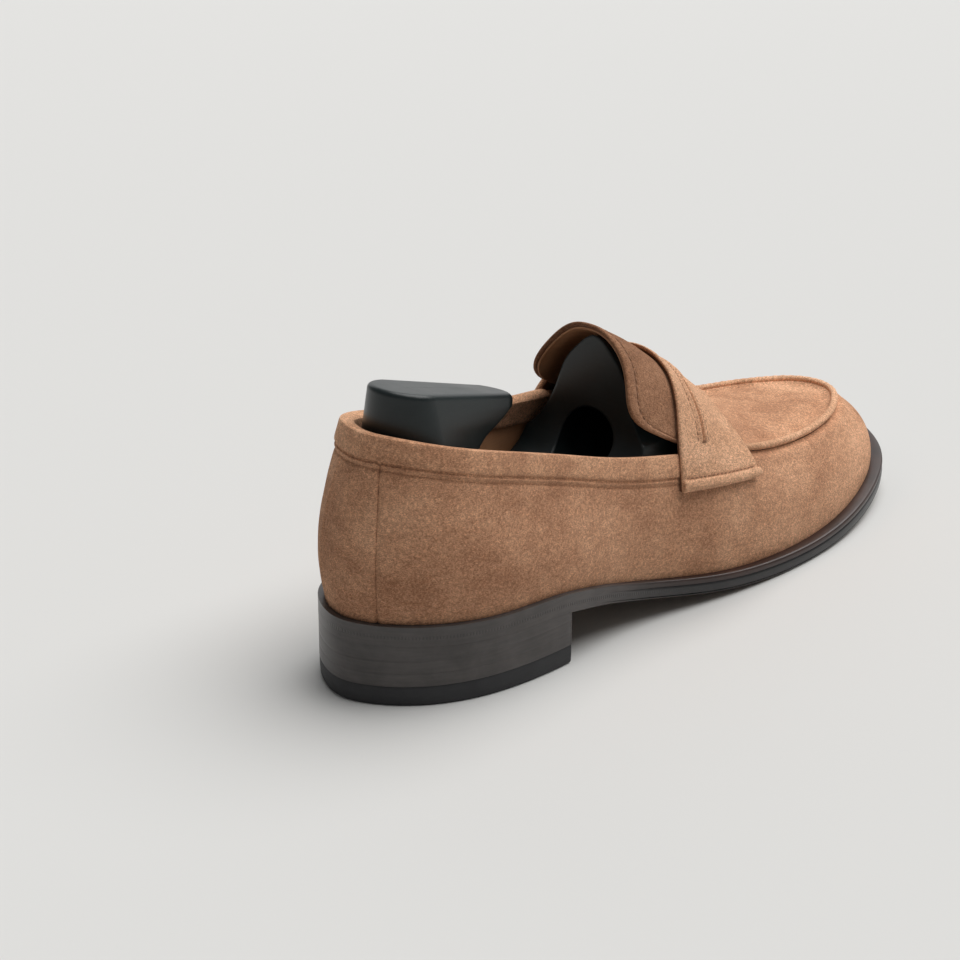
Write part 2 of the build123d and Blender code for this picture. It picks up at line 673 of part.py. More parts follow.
TONGUE_EDGE = {
    LATERAL: [(-22, 106), (-22.2, 97), (-23.5, 90), (-26.5, 83.5), (-29.3, 77.5), (-28.8, 72.5), (-24, 67.5)],
    MEDIAL: [(-22, 106), (-22.2, 97), (-23.5, 91), (-25, 86), (-25.5, 81.5), (-23.5, 77), (-18, 72)],
}
TONGUE_FOOT = {LATERAL: [(-11, 60.3), (21, 40)], MEDIAL: [(-8, 67.0), (21, 46)]}


def tongue_prism(side, inset):
    """Side view of one half of the tongue, its free edge moved forwards by inset."""
    with BuildSketch(Plane.XZ.offset(-CREST_Y)) as outline:
        with BuildLine():
            edge = Spline(*[(x + inset, z) for x, z in TONGUE_EDGE[side] + TONGUE_FOOT[side][:1]])
            corner = TONGUE_FOOT[side][1]
            Polyline(edge @ 1, corner, (corner[0], 106), edge @ 0)
        make_face()
    return outline.sketch


def tongue_layer(outer, inner, inset):
    with BuildPart() as layer:
        loft([arch_section(x, -TONGUE_SHARE, TONGUE_SHARE, outer, inner) for x in TONGUE_STATIONS])
        with BuildPart(mode=Mode.PRIVATE) as halves:
            extrude(tongue_prism(LATERAL, inset), amount=60)
            extrude(tongue_prism(MEDIAL, inset), amount=-60)
        add(halves.part, mode=Mode.INTERSECT)
    return layer.part


with BuildPart() as tongue:
    add(tongue_layer(0, -UPPER_LEATHER, 0))
tongue.part.label = "tongue"
export_step(tongue.part, "parts/tongue.step")

with BuildPart() as tongue_lining:
    add(tongue_layer(-BACKER_FACE, -BACKER_FACE - LINING, 0.6))
tongue_lining.part.label = "tongue_lining"
export_step(tongue_lining.part, "parts/tongue_lining.step")


def seam_centre(side, s):
    """Centre of the raised apron seam, which rests on the rim and on the apron's edge."""
    frame = WallFrame(side, s)
    rim_x, rim_y = frame.poles[3]
    return frame.plane.from_local_coords(Vector(rim_x - SEAM_INSET, rim_y + SEAM_LIFT, 0))


with BuildPart() as apron_seam:
    seam_start = rim_fraction(LATERAL, SEAM_START_X)
    seam_end = rim_fraction(MEDIAL, SEAM_START_X)
    places = along_side(LATERAL, seam_start, 1) + along_side(MEDIAL, seam_end, 1)[-2::-1]
    with BuildLine() as seam_path:
        Spline(*[seam_centre(side, s) for side, s in places])
    with BuildSketch(Plane(seam_path.line @ 0, z_dir=seam_path.line % 0)):
        Circle(SEAM_RADIUS)
    sweep(path=seam_path.line)
apron_seam.part.label = "apron_seam"
export_step(apron_seam.part, "parts/apron_seam.step")

# ---------------------------------------------------------------- saddle strap
STRAP_STATIONS = [-19, -12, -5, 2, 9, 16, 23, 30, 37, 44]
STRAP_BACKING_FACE, STRAP_BACKING = 0.3, 0.8
STRAP_FACE, STRAP_LEATHER = 1.15, 1.4
SLOT_WIDTH = 1.3
BAR_WIDTH, BAR_HEIGHT = 3.2, 1.1
BAR_START, BAR_END, BAR_FOOT = -14.5, 22.8, 0.2
strap_reach = through([-19, 5, 26, 44], [12.0, 11.2, 9.2, 7.0])  # down the wall, below the rim


def wall_at_x(side, x, v, depth=0.0):
    """(y, z) at the given depth in the wall where it crosses the plane at x."""
    low, high = 0.0, 1.0
    for _ in range(20):
        middle = (low + high) / 2
        frame = WallFrame(side, middle)
        spot = frame.plane.from_local_coords(Vector(*frame.point(v, depth), 0))
        if spot.X < x:
            low = middle
        else:
            high = middle
    return np.array([spot.Y, spot.Z])


def contour(x, reach):
    """Points across the upper at x, from reach below the lateral rim over the crest."""
    points = []
    for side in (LATERAL, MEDIAL):
        length = WallFrame(side, rim_fraction(side, x)).length
        down = [wall_at_x(side, x, 1 - share * reach / length) for share in (1, 0.66, 0.33)]
        top = [np.array(arch_point(x, side * t, 0)) for t in (0.95, 0.8, 0.62, 0.42, 0.2)]
        points.append(down + top)
    crest_point = [np.array(arch_point(x, 0, 0))]
    return np.array(points[0] + crest_point + points[1][::-1])


def offset_points(points, distance):
    """The same open curve moved outwards, which is up and away from the crest."""
    along = np.gradient(points, axis=0)
    along /= np.linalg.norm(along, axis=1)[:, None]
    return points + distance * np.stack([-along[:, 1], along[:, 0]], 1)


def strip_section(x, points, inner, outer):
    with BuildSketch(Plane((x, 0, 0), x_dir=(0, 1, 0), z_dir=(1, 0, 0))) as section:
        with BuildLine():
            face = Spline(*[tuple(p) for p in offset_points(points, outer)])
            back = Spline(*[tuple(p) for p in offset_points(points, inner)])
            Line(face @ 0, back @ 0)
            Line(face @ 1, back @ 1)
        make_face()
    return section.sketch


def strap_plan(rear, front):
    with BuildSketch(Plane.XY) as plan:
        with BuildLine():
            back_edge = Spline(*mirrored(rear))
            front_edge = Spline(*mirrored(front))
            Line(back_edge @ 0, front_edge @ 0)
            Line(back_edge @ 1, front_edge @ 1)
        make_face()
    return plan.sketch


CONTOURS = {x: contour(x, float(strap_reach(x))) for x in STRAP_STATIONS}


def strap_layer(inner, outer):
    with BuildPart() as layer:
        loft([strip_section(x, CONTOURS[x], inner, outer) for x in STRAP_STATIONS])
        extrude(strap_plan(STRAP_REAR, STRAP_FRONT), amount=120, mode=Mode.INTERSECT)
    return layer.part


with BuildPart() as strap_backing:
    add(strap_layer(STRAP_BACKING_FACE, STRAP_BACKING_FACE + STRAP_BACKING))
strap_backing.part.label = "strap_backing"
export_step(strap_backing.part, "parts/strap_backing.step")

with BuildPart() as saddle_strap:
    add(strap_layer(STRAP_FACE, STRAP_FACE + STRAP_LEATHER))
    slot_rear = [(x - SLOT_WIDTH / 2, y) for x, y in SLOT_LINE]
    slot_front = [(x + SLOT_WIDTH / 2, y) for x, y in SLOT_LINE]
    extrude(strap_plan(slot_rear, slot_front), amount=120, mode=Mode.SUBTRACT)
saddle_strap.part.label = "saddle_strap"
export_step(saddle_strap.part, "parts/saddle_strap.step")


def strap_bar(side, stations=6):
    """The raised fold stitched along one lower end of the strap."""
    bar_steps = np.linspace(BAR_FOOT, BAR_WIDTH, 4)
    sections = []
    for x in np.linspace(BAR_START, BAR_END, stations):
        reach = float(strap_reach(x))
        length = WallFrame(side, rim_fraction(side, x)).length
        levels = [wall_at_x(side, x, 1 - (reach - step) / length) for step in bar_steps]
        points = np.array(levels if side == LATERAL else levels[::-1])
        top = STRAP_FACE + STRAP_LEATHER + LAYER_GAP
        sections.append(strip_section(x, points, top, top + BAR_HEIGHT))
    return sections


with BuildPart() as lateral_strap_bar:
    loft(strap_bar(LATERAL))
lateral_strap_bar.part.label = "lateral_strap_bar"
export_step(lateral_strap_bar.part, "parts/lateral_strap_bar.step")

with BuildPart() as medial_strap_bar:
    loft(strap_bar(MEDIAL))
medial_strap_bar.part.label = "medial_strap_bar"
export_step(medial_strap_bar.part, "parts/medial_strap_bar.step")

# ---------------------------------------------------------------- shoe tree
TREE_GAP = 1.0  # between the tree and whatever lines the shoe
TREE_DEPTH = LINING_BACK + BINDING_GAP + BINDING_LEATHER + TREE_GAP
TREE_ROOF = BACKER_FACE + LINING + TREE_GAP
TREE_STATIONS = [-56, -46, -36, -26, -16, -6, 6, 18, 28, 36, 44, 52, 62, 72, 84, 96]
HINGE_Y = -2.0
EAR_RADIUS, EAR_WIDTH, EAR_GAP = 9.0, 7.0, 0.4
UPRIGHT_OUTLINE = [
    (-48, 49), (-37, 53), (-30, 59), (-24, 66), (-20.5, 71.5), (-17.7, 80), (-15.3, 85), (-11, 90),
    (-3, 95.4), (5, 90), (9.3, 85), (11.7, 80), (13.3, 75), (15.6, 69), (20, 61), (27, 54.5), (38, 50),
]
REAR_SWEEP = [(-20.6, 100), (-21.6, 85), (-22.5, 70), (-24.5, 60), (-30, 52.5), (-43, 48.2), (-58, 46.5)]
THUMB_HOLE_Y, THUMB_HOLE_Z, THUMB_HOLE_END, THUMB_HOLE_DEPTH = -3.5, 57.0, 4.0, 60.0
TREE_WALL_LEVELS = (0.16, 0.4, 0.65, 0.85)  # shares of the wall's height the tree follows
TREE_ARCH_SHARES = (1, 0.64, 0.31)
TREE_SHOULDER = 6.0  # the tree leaves the wall this far inside its upper level
TREE_FLOOR_GAP, TREE_FLOOR_CHAMFER = 0.5, 1.5
UPRIGHT_START_X, UPRIGHT_LENGTH = -60.0, 90.0  # where the upright's outline narrows the forepart
PIN_FIT = 0.02  # between the pin and the forepart's two ears
EAR_SWING_GAP = 0.8  # between the heel block's lug and the forepart
EAR_FOOT_LENGTH = 12.0
LUG_ROOT_X = -87.0  # inside the heel block
EAR_INNER_SPAN = 2 * (LUG_HALF_WIDTH + EAR_GAP)
EAR_OUTER_SPAN = EAR_INNER_SPAN + 2 * EAR_WIDTH
PIN_RECESS = 0.2  # of each end of the pin in the ears


def tree_section(x):
    """The room inside the shoe at x, from the sock liner up."""
    sides = []
    for side in (LATERAL, MEDIAL):
        wall = [wall_at_x(side, x, v, TREE_DEPTH) for v in TREE_WALL_LEVELS]
        reach = (abs(wall[-1][0]) - TREE_SHOULDER) / half_width[side](x)
        top = [np.array(arch_point(x, side * reach * t, -TREE_ROOF)) for t in TREE_ARCH_SHARES]
        sides.append(wall + top)
    contour_points = sides[0] + [np.array(arch_point(x, 0, -TREE_ROOF))] + sides[1][::-1]
    floor = float(sock_top(x)) + TREE_FLOOR_GAP
    with BuildSketch(Plane((x, 0, 0), x_dir=(0, 1, 0), z_dir=(1, 0, 0))) as section:
        with BuildLine():
            over = Spline(*[tuple(p) for p in contour_points])
            corners = ((over @ 1).X - TREE_FLOOR_CHAMFER, (over @ 0).X + TREE_FLOOR_CHAMFER)
            Polyline(over @ 1, (corners[0], floor), (corners[1], floor), over @ 0)
        make_face()
    return section.sketch


with BuildPart() as tree_forepart:
    loft([tree_section(x) for x in TREE_STATIONS], ruled=True)
    with BuildSketch(Plane.XZ.offset(-SIDE_REACH)):
        with BuildLine():
            sweep_line = Spline(*REAR_SWEEP)
            Polyline(sweep_line @ 1, (-90, 46.5), (-90, 130), (-20.6, 130), sweep_line @ 0)
        make_face()
    extrude(amount=2 * SIDE_REACH, mode=Mode.SUBTRACT)
    with BuildSketch(Plane.YZ.offset(UPRIGHT_START_X)):
        with Locations((-5, 50)):
            Rectangle(86, 100)
        with BuildLine():
            outline = Spline(*UPRIGHT_OUTLINE)
            Polyline(outline @ 1, (38, 0), (-48, 0), outline @ 0)
        make_face(mode=Mode.SUBTRACT)
    extrude(amount=UPRIGHT_LENGTH, mode=Mode.SUBTRACT)
    with Locations((PIVOT_X, HINGE_Y, PIVOT_Z)):
        Cylinder(EAR_RADIUS, EAR_OUTER_SPAN, rotation=(90, 0, 0))
    with Locations((PIVOT_X + EAR_FOOT_LENGTH / 2, HINGE_Y, PIVOT_Z)):
        Box(EAR_FOOT_LENGTH, EAR_OUTER_SPAN, 1.5 * EAR_RADIUS)
    with Locations((PIVOT_X, HINGE_Y, PIVOT_Z)):
        Cylinder(EAR_RADIUS + EAR_SWING_GAP, EAR_INNER_SPAN, rotation=(90, 0, 0), mode=Mode.SUBTRACT)
        Cylinder(PIN_RADIUS + PIN_FIT, THUMB_HOLE_DEPTH, rotation=(90, 0, 0), mode=Mode.SUBTRACT)
    with Locations((THUMB_HOLE_END - THUMB_HOLE_DEPTH / 2, THUMB_HOLE_Y, THUMB_HOLE_Z)):
        Cylinder(THUMB_HOLE_RADIUS, THUMB_HOLE_DEPTH, rotation=(0, 90, 0), mode=Mode.SUBTRACT)
tree_forepart.part.label = "tree_forepart"
export_step(tree_forepart.part, "parts/tree_forepart.step")

# The heel block against height: its back and front end, each with the radius it is rounded to.
block_back = through([33, 62, 84, 110], [-129, -130.2, -130.6, -127.6])
block_back_radius = through([33, 62, 84, 110], [17, 16.6, 15.6, 10.6])
block_front = through([33, 62, 72.5, 77.5, 81, 84, 110], [-82, -85.5, -85.5, -80.2, -72.2, -66.9, -66.6])
block_front_radius = through([33, 62, 72.5, 81, 84, 110], [12, 11, 10, 8.4, 7.8, 7.4])
HEEL_BLOCK_LEVELS = [33.4, 48, 60, 67, 71, 74, 76, 78, 79.5, 81, 82.5, 84, 110]
HEEL_BLOCK_Y = -1.8
HEEL_BLOCK_CROWN = [(-140, 106.5), (-118, 101.8), (-92, 95), (-66, 86.8)]
CROWN_FILLET = 2.0


def block_plan(height):
    """Hull of a back and a front circle."""
    ends = [(float(block_back(height)), float(block_back_radius(height)))]
    ends.append((float(block_front(height)), -float(block_front_radius(height))))
    with BuildSketch(Plane.XY.offset(height)) as plan:
        for end_x, inwards_radius in ends:
            with Locations((end_x + inwards_radius, HEEL_BLOCK_Y)):
                Circle(abs(inwards_radius))
        make_hull()
    return plan.sketch


with BuildPart() as tree_heel_block:
    loft([block_plan(height) for height in HEEL_BLOCK_LEVELS], ruled=True)
    with BuildSketch(Plane.XZ.offset(-SIDE_REACH)):
        with BuildLine():
            crown = Spline(*HEEL_BLOCK_CROWN)
            Polyline(crown @ 1, (-40, 86.8), (-40, 130), (-140, 130), crown @ 0)
        make_face()
    extrude(amount=2 * SIDE_REACH, mode=Mode.SUBTRACT)
    fillet(tree_heel_block.faces().sort_by(Axis.Z)[-1].edges(), CROWN_FILLET)
    with BuildSketch(Plane.XZ.offset(-HINGE_Y - LUG_HALF_WIDTH)):
        with Locations((PIVOT_X, PIVOT_Z)):
            Circle(EAR_RADIUS)
        with Locations((LUG_ROOT_X, PIVOT_Z)):
            Circle(EAR_RADIUS)
        make_hull()
    extrude(amount=2 * LUG_HALF_WIDTH)
    with Locations((PIVOT_X, HINGE_Y, PIVOT_Z)):
        Cylinder(PIN_RADIUS + PIN_CLEARANCE, THUMB_HOLE_DEPTH, rotation=(90, 0, 0), mode=Mode.SUBTRACT)
tree_heel_block.part.label = "tree_heel_block"
export_step(tree_heel_block.part, "parts/tree_heel_block.step")

with BuildPart() as tree_hinge_pin:
    with Locations((PIVOT_X, HINGE_Y, PIVOT_Z)):
        Cylinder(PIN_RADIUS, EAR_OUTER_SPAN - 2 * PIN_RECESS, rotation=(90, 0, 0))
tree_hinge_pin.part.label = "tree_hinge_pin"
export_step(tree_hinge_pin.part, "parts/tree_hinge_pin.step")
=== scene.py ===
"""The looks of the suede penny loafer and its shoe tree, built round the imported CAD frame.

Shapes are worked out in millimetres with the formulas of the CAD model and turned into metres
when a mesh is made. Frame: +X towards the toe, -Y the lateral side, +Z up.
"""

import math

import bmesh
import bpy
import numpy as np
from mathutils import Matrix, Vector, noise


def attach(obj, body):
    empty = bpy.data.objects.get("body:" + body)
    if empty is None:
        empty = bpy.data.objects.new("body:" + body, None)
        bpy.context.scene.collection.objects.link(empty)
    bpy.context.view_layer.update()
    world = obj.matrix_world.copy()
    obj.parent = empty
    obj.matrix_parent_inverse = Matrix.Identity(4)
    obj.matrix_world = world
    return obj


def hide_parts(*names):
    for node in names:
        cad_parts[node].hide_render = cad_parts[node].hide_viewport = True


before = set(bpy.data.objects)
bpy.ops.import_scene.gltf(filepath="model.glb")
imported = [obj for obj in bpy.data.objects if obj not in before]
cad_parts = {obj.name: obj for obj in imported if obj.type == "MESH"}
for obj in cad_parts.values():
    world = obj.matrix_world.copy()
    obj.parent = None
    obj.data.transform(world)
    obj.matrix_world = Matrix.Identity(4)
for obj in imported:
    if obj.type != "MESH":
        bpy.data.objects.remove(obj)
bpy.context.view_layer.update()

# ---------------- the last's curves
SOLE_THICKNESS, WELT_THICKNESS = 4.5, 2.5
LATERAL, MEDIAL = SIDES = -1, 1
FRACTIONS = np.linspace(0, 1, 401)
SOLE_OUTLINE = [
    (-149, -2.5), (-145.3, -14.5), (-135, -27), (-114, -38), (-77, -42), (-39, -41), (1, -47.5),
    (41, -50.7), (76, -47.5), (106, -38.8), (131, -25), (144.5, -9), (149, 3),
    (145.5, 13), (134, 26), (113, 39), (90, 47.5), (64, 50.8), (38, 47.5), (1, 33), (-39, 23.5),
    (-77, 25.5), (-114, 29), (-135, 21.5), (-145.3, 9.5),
]
SOLE_TOE = 12
WALL_RIM = [
    (-137, -2, 91), (-134.5, -12, 90.6), (-128, -20.5, 89), (-114.5, -27.5, 85), (-96, -30.7, 79.5),
    (-69, -32.2, 71), (-46, -33.2, 63.5), (-22.5, -34.6, 57.7), (5, -36, 52), (27, -36, 46.4),
    (43, -34.8, 42.6), (60, -33.4, 40.3), (77, -30.4, 38.9), (95, -24.5, 37.7), (109, -17, 37),
    (120, -8, 36.6), (124, 2, 36.5), (121, 11.5, 36.6), (110, 20, 37), (94, 26, 38),
    (77, 29, 39.6), (60, 30.5, 42.3), (45, 31, 46), (27, 31.5, 52), (8, 30.5, 59),
    (-12, 28.5, 64.5), (-37, 27, 68), (-69, 26.7, 74.5), (-96, 26, 80.5), (-114.5, 23, 85.5),
    (-128, 15.8, 89.2), (-134.5, 7, 90.7),
]
RIM_TOE = 16
TOE_FAN = 0.86


def through(xs, ys):
    """A smooth function through the given stations, flat beyond its ends."""
    xs, ys = np.array(xs, float), np.array(ys, float)
    gap = np.diff(xs)
    chord = np.diff(ys) / gap
    slope = np.empty_like(ys)
    slope[1:-1] = (gap[1:] * chord[:-1] + gap[:-1] * chord[1:]) / (gap[1:] + gap[:-1])
    slope[0], slope[-1] = chord[0], chord[-1]

    def value(x):
        x = np.clip(x, xs[0], xs[-1])
        i = np.clip(np.searchsorted(xs, x, side="right") - 1, 0, len(xs) - 2)
        t = (x - xs[i]) / gap[i]
        rise = (t**3 - 2 * t**2 + t) * slope[i] + (t**3 - t**2) * slope[i + 1]
        return (2 * t**3 - 3 * t**2 + 1) * ys[i] + (3 * t**2 - 2 * t**3) * ys[i + 1] + gap[i] * rise

    return value


def run_along(path):
    """The way along a path at each of its points."""
    return np.concatenate([[0], np.cumsum(np.linalg.norm(np.diff(path, axis=0), axis=1))])


def closed_sides(points, toe, steps=40):
    """A smooth closed curve through points, as a lateral and a medial table from heel to toe."""
    p = np.array(points, float)
    count = len(p)
    gap = np.sqrt(np.linalg.norm(np.roll(p, -1, 0) - p, axis=1))
    matrix, right = np.zeros((count, count)), np.zeros(p.shape)
    for i in range(count):
        back, ahead = gap[i - 1], gap[i]
        matrix[i, i - 1] += ahead
        matrix[i, i] += 2 * (back + ahead)
        matrix[i, (i + 1) % count] += back
        rise_ahead = (p[(i + 1) % count] - p[i]) / ahead
        right[i] = 3 * (ahead * (p[i] - p[i - 1]) / back + back * rise_ahead)
    slope = np.linalg.solve(matrix, right)
    t = np.linspace(0, 1, steps, endpoint=False)[:, None]
    spans = []
    for i in range(count):
        j = (i + 1) % count
        bend = (t**3 - 2 * t**2 + t) * slope[i] + (t**3 - t**2) * slope[j]
        spans.append((2 * t**3 - 3 * t**2 + 1) * p[i] + (3 * t**2 - 2 * t**3) * p[j] + gap[i] * bend)
    curve = np.vstack(spans)
    halves = [curve[: steps * toe + 1], np.vstack([curve[steps * toe :], curve[:1]])[::-1]]
    tables = []
    for half in halves:
        run = run_along(half)
        even = np.linspace(0, run[-1], len(FRACTIONS))
        tables.append(np.stack([np.interp(even, run, half[:, k]) for k in range(p.shape[1])], 1))
    return {LATERAL: tables[0], MEDIAL: tables[1]}


sole_underside = through(
    [-149, -114, -77, -59, -39, 1, 41, 66, 91, 121, 149],
    [22.2, 20.9, 19.3, 15.5, 10.3, 2.7, 0.0, 0.2, 1.8, 5.0, 9.0],
)
welt_margin = through([0, 0.1, 0.25, 0.5, 0.65, 0.85, 1], [2.6, 2.4, 2.2, 3.2, 4.4, 4.8, 5.0])
lean_out = through([0, 0.1, 0.3, 0.5, 0.7, 0.9, 1], [14, 14, 12, 10, 4, 4, 6])
lean_in = through([0, 0.1, 0.3, 0.425, 0.51, 0.6, 0.75, 0.86, 1], [16, 15, 14, 20, 34, 45, 50, 55, 60])


def sole_top(x):
    return sole_underside(x) + SOLE_THICKNESS


def welt_top(x):
    return sole_top(x) + WELT_THICKNESS


OUTLINE = closed_sides(SOLE_OUTLINE, SOLE_TOE)
RIM = closed_sides(WALL_RIM, RIM_TOE)


def at(table, s):
    """The table's row at each fraction s of the way from heel to toe."""
    s = np.asarray(s, float)
    return np.stack([np.interp(s, FRACTIONS, table[:, k]) for k in range(table.shape[1])], -1)


def unit(v):
    return v / np.linalg.norm(v, axis=-1, keepdims=True)


def inwards(side):
    """Plan directions square to the sole's edge, towards the middle of the shoe."""
    along = unit(np.gradient(OUTLINE[side], axis=0))
    return np.stack([-along[:, 1], along[:, 0]], 1) * -side


INWARDS = {side: inwards(side) for side in SIDES}
FEATHER = {
    side: OUTLINE[side] + INWARDS[side] * welt_margin(FRACTIONS)[:, None] for side in SIDES
}


def rim_above(side, overlap=60):
    """For each fraction, the rim's point in the upright plane square to the sole's edge there."""
    own, other = RIM[side], RIM[-side]
    rim = np.vstack([other[overlap:0:-1], own])
    along = np.gradient(OUTLINE[side], axis=0)
    places = []
    for s, foot, direction in zip(FRACTIONS, FEATHER[side], along):
        if s > TOE_FAN:
            break
        ahead = (rim[:, :2] - foot) @ direction
        crossings = np.flatnonzero((ahead[:-1] <= 0) & (ahead[1:] > 0))
        gaps = np.linalg.norm(rim[crossings, :2] - foot, axis=1)
        k = crossings[np.argmin(gaps)]
        places.append(k - ahead[k] / (ahead[k + 1] - ahead[k]))
    fan = np.linspace(places[-1], len(rim) - 1, len(FRACTIONS) - len(places) + 1)[1:]
    places = np.concatenate([places, fan])
    return np.stack([np.interp(places, np.arange(len(rim)), rim[:, k]) for k in range(3)], 1)


WALL_TOP = {side: rim_above(side) for side in SIDES}
for side in SIDES:
    fanned = FRACTIONS > TOE_FAN
    INWARDS[side][fanned] = unit(WALL_TOP[side][fanned, :2] - FEATHER[side][fanned])


class Wall:
    """The side wall of the upper: a cubic from the feather line (v = 0) to the rim (v = 1)."""

    def __init__(self, side, s):
        s = np.atleast_1d(np.asarray(s, float))
        foot, rim = at(FEATHER[side], s), at(WALL_TOP[side], s)
        self.out = -unit(at(INWARDS[side], s))
        self.foot = np.column_stack([foot, welt_top(foot[:, 0]) + 0.05])
        span = np.sum((foot - rim[:, :2]) * self.out, 1)
        end = np.stack([-span, rim[:, 2] - self.foot[:, 2]], 1)
        self.length = np.linalg.norm(end, axis=1)
        handle = 0.36 * self.length[:, None]
        out, lean = np.radians(lean_out(s)), np.radians(lean_in(s))
        first = handle * np.stack([np.sin(out), np.cos(out)], 1)
        second = end + handle * np.stack([np.sin(lean), -np.cos(lean)], 1)
        self.poles = [np.zeros_like(end), first, second, end]

    def local(self, v, depth=0.0, rise=0.0):
        a, b, c, d = [p[:, None, :] for p in self.poles]
        v = np.asarray(v, float)
        v = (v if v.ndim == 2 else v[None, :])[..., None]
        base = (1 - v) ** 3 * a + 3 * v * (1 - v) ** 2 * b + 3 * v**2 * (1 - v) * c + v**3 * d
        along = unit((1 - v) ** 2 * (b - a) + 2 * v * (1 - v) * (c - b) + v**2 * (d - c))
        inward = np.stack([-along[..., 1], along[..., 0]], -1)
        depth, rise = np.asarray(depth, float), np.asarray(rise, float)
        return base + depth[..., None] * inward + rise[..., None] * along

    def points(self, v, depth=0.0, rise=0.0):
        """(sections, v, 3) points, depth inside the outer face and rise further along the wall."""
        flat = self.local(v, depth, rise)
        x = self.foot[:, None, 0] + flat[..., 0] * self.out[:, None, 0]
        y = self.foot[:, None, 1] + flat[..., 0] * self.out[:, None, 1]
        return np.stack([x, y, self.foot[:, None, 2] + flat[..., 1]], -1)


CREST_Y = -0.5
crest = through(
    [-60, -31, -17.5, -6, 5, 17, 26.5, 35, 43, 52, 62, 80, 100, 124, 135],
    [118, 104, 97.2, 90.6, 82.8, 74.0, 66.6, 59.8, 53.2, 48.6, 45.3, 41.5, 39.2, 36.7, 36.0],
)
half_width = {
    LATERAL: through([-46, -22.5, 5, 43, 130], [32.7, 34.1, 35.5, 35.0, 35.0]),
    MEDIAL: through([-37, -12, 8, 27, 130], [27.5, 29.0, 31.0, 32.0, 31.5]),
}
drop = {
    LATERAL: through(
        [-60, -22.5, -6, 5, 27, 43, 60, 77, 95, 130], [60, 42.5, 36.3, 30.8, 19.9, 11, 6.3, 4.1, 4.5, 6]
    ),
    MEDIAL: through([-60, -37, -12, 8, 27, 45, 60, 77, 130], [48, 39.5, 29.5, 22, 14.3, 6, 3.8, 2.8, 3]),
}
roof = through([-60, -5, 10, 25, 45, 60, 80, 130], [0, 0, 0.25, 0.8, 0.9, 0.6, 0.2, 0])
ARCH_POWER, ROOF_ROUNDING = 2.15, 0.2


def arch(x, t, offset=0.0):
    """(y, z) on the top of the upper; t is -1 at the lateral rim and 1 at the medial rim."""
    x, t = np.broadcast_arrays(np.asarray(x, float), np.asarray(t, float))

    def surface(q):
        lateral = q < 0
        width = np.where(lateral, half_width[LATERAL](x), half_width[MEDIAL](x))
        fall = np.where(lateral, drop[LATERAL](x), drop[MEDIAL](x))
        rounded = np.sqrt(q * q + ROOF_ROUNDING**2) - ROOF_ROUNDING
        rounded = rounded / (math.sqrt(1 + ROOF_ROUNDING**2) - ROOF_ROUNDING)
        shape = (1 - roof(x)) * np.abs(q) ** ARCH_POWER + roof(x) * rounded
        return np.stack([CREST_Y + q * width, crest(x) - fall * shape], -1)

    along = unit(surface(t + 0.01) - surface(t - 0.01))
    outwards = np.stack([-along[..., 1], along[..., 0]], -1)
    return surface(t) + np.asarray(offset)[..., None] * outwards


def arch_points(x, t, offset=0.0):
    """Points of the top of the upper, offset outwards."""
    yz = arch(x, t, offset)
    x = np.broadcast_to(x, yz.shape[:-1])
    return np.concatenate([x[..., None], yz], -1)


# ---------------- mesh making
def rumple(points, size, seed=0.0):
    """Smooth noise between -1 and 1 at each point, with features about size millimetres across."""
    flat = points.reshape(-1, 3) / size + seed
    return np.array([noise.noise(Vector(p)) for p in flat]).reshape(points.shape[:-1])


def grid_faces(rows, columns, close_rows=False, close_columns=False):
    """Quads between neighbouring points of a grid, joined round where it closes."""
    i = np.arange(rows if close_rows else rows - 1)
    j = np.arange(columns if close_columns else columns - 1)
    i, j = np.meshgrid(i, j, indexing="ij")
    k, m = (i + 1) % rows, (j + 1) % columns
    quads = np.stack([i * columns + j, k * columns + j, k * columns + m, i * columns + m], -1)
    quads = quads.reshape(-1, 4)
    return quads.tolist()


def piece(name, points, faces, material, nodes, body="shoe", sharp=40):
    """A mesh object from millimetre points, riding on a body and standing for CAD nodes."""
    mesh = bpy.data.meshes.new(name)
    mesh.from_pydata((points.reshape(-1, 3) / 1000).tolist(), [], faces)
    mesh.validate()
    mesh.polygons.foreach_set("use_smooth", [True] * len(mesh.polygons))
    mesh.set_sharp_from_angle(angle=math.radians(sharp))
    mesh.materials.append(material)
    obj = bpy.data.objects.new(name, mesh)
    bpy.context.scene.collection.objects.link(obj)
    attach(obj, body)
    if nodes:
        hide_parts(*nodes)
    return obj


def outward(mesh_object):
    """Turns the faces of a closed mesh outwards."""
    work = bmesh.new()
    work.from_mesh(mesh_object.data)
    bmesh.ops.recalc_face_normals(work, faces=work.faces)
    work.to_mesh(mesh_object.data)
    work.free()
    return mesh_object


def tube(name, sections, material, nodes, body="shoe", closed=False, sharp=40):
    """A solid from rings of points (sections, ring, 3), capped at both ends unless closed."""
    rows, columns = sections.shape[:2]
    faces = grid_faces(rows, columns, close_rows=closed, close_columns=True)
    if not closed:
        faces.append(list(range(columns))[::-1])
        faces.append([(rows - 1) * columns + j for j in range(columns)])
    return outward(piece(name, sections, faces, material, nodes, body, sharp))


HALF_ROUND = ((0.18, 0.28), (0.5, 0.42), (0.82, 0.28))  # (share of the thickness, bulge by thickness)


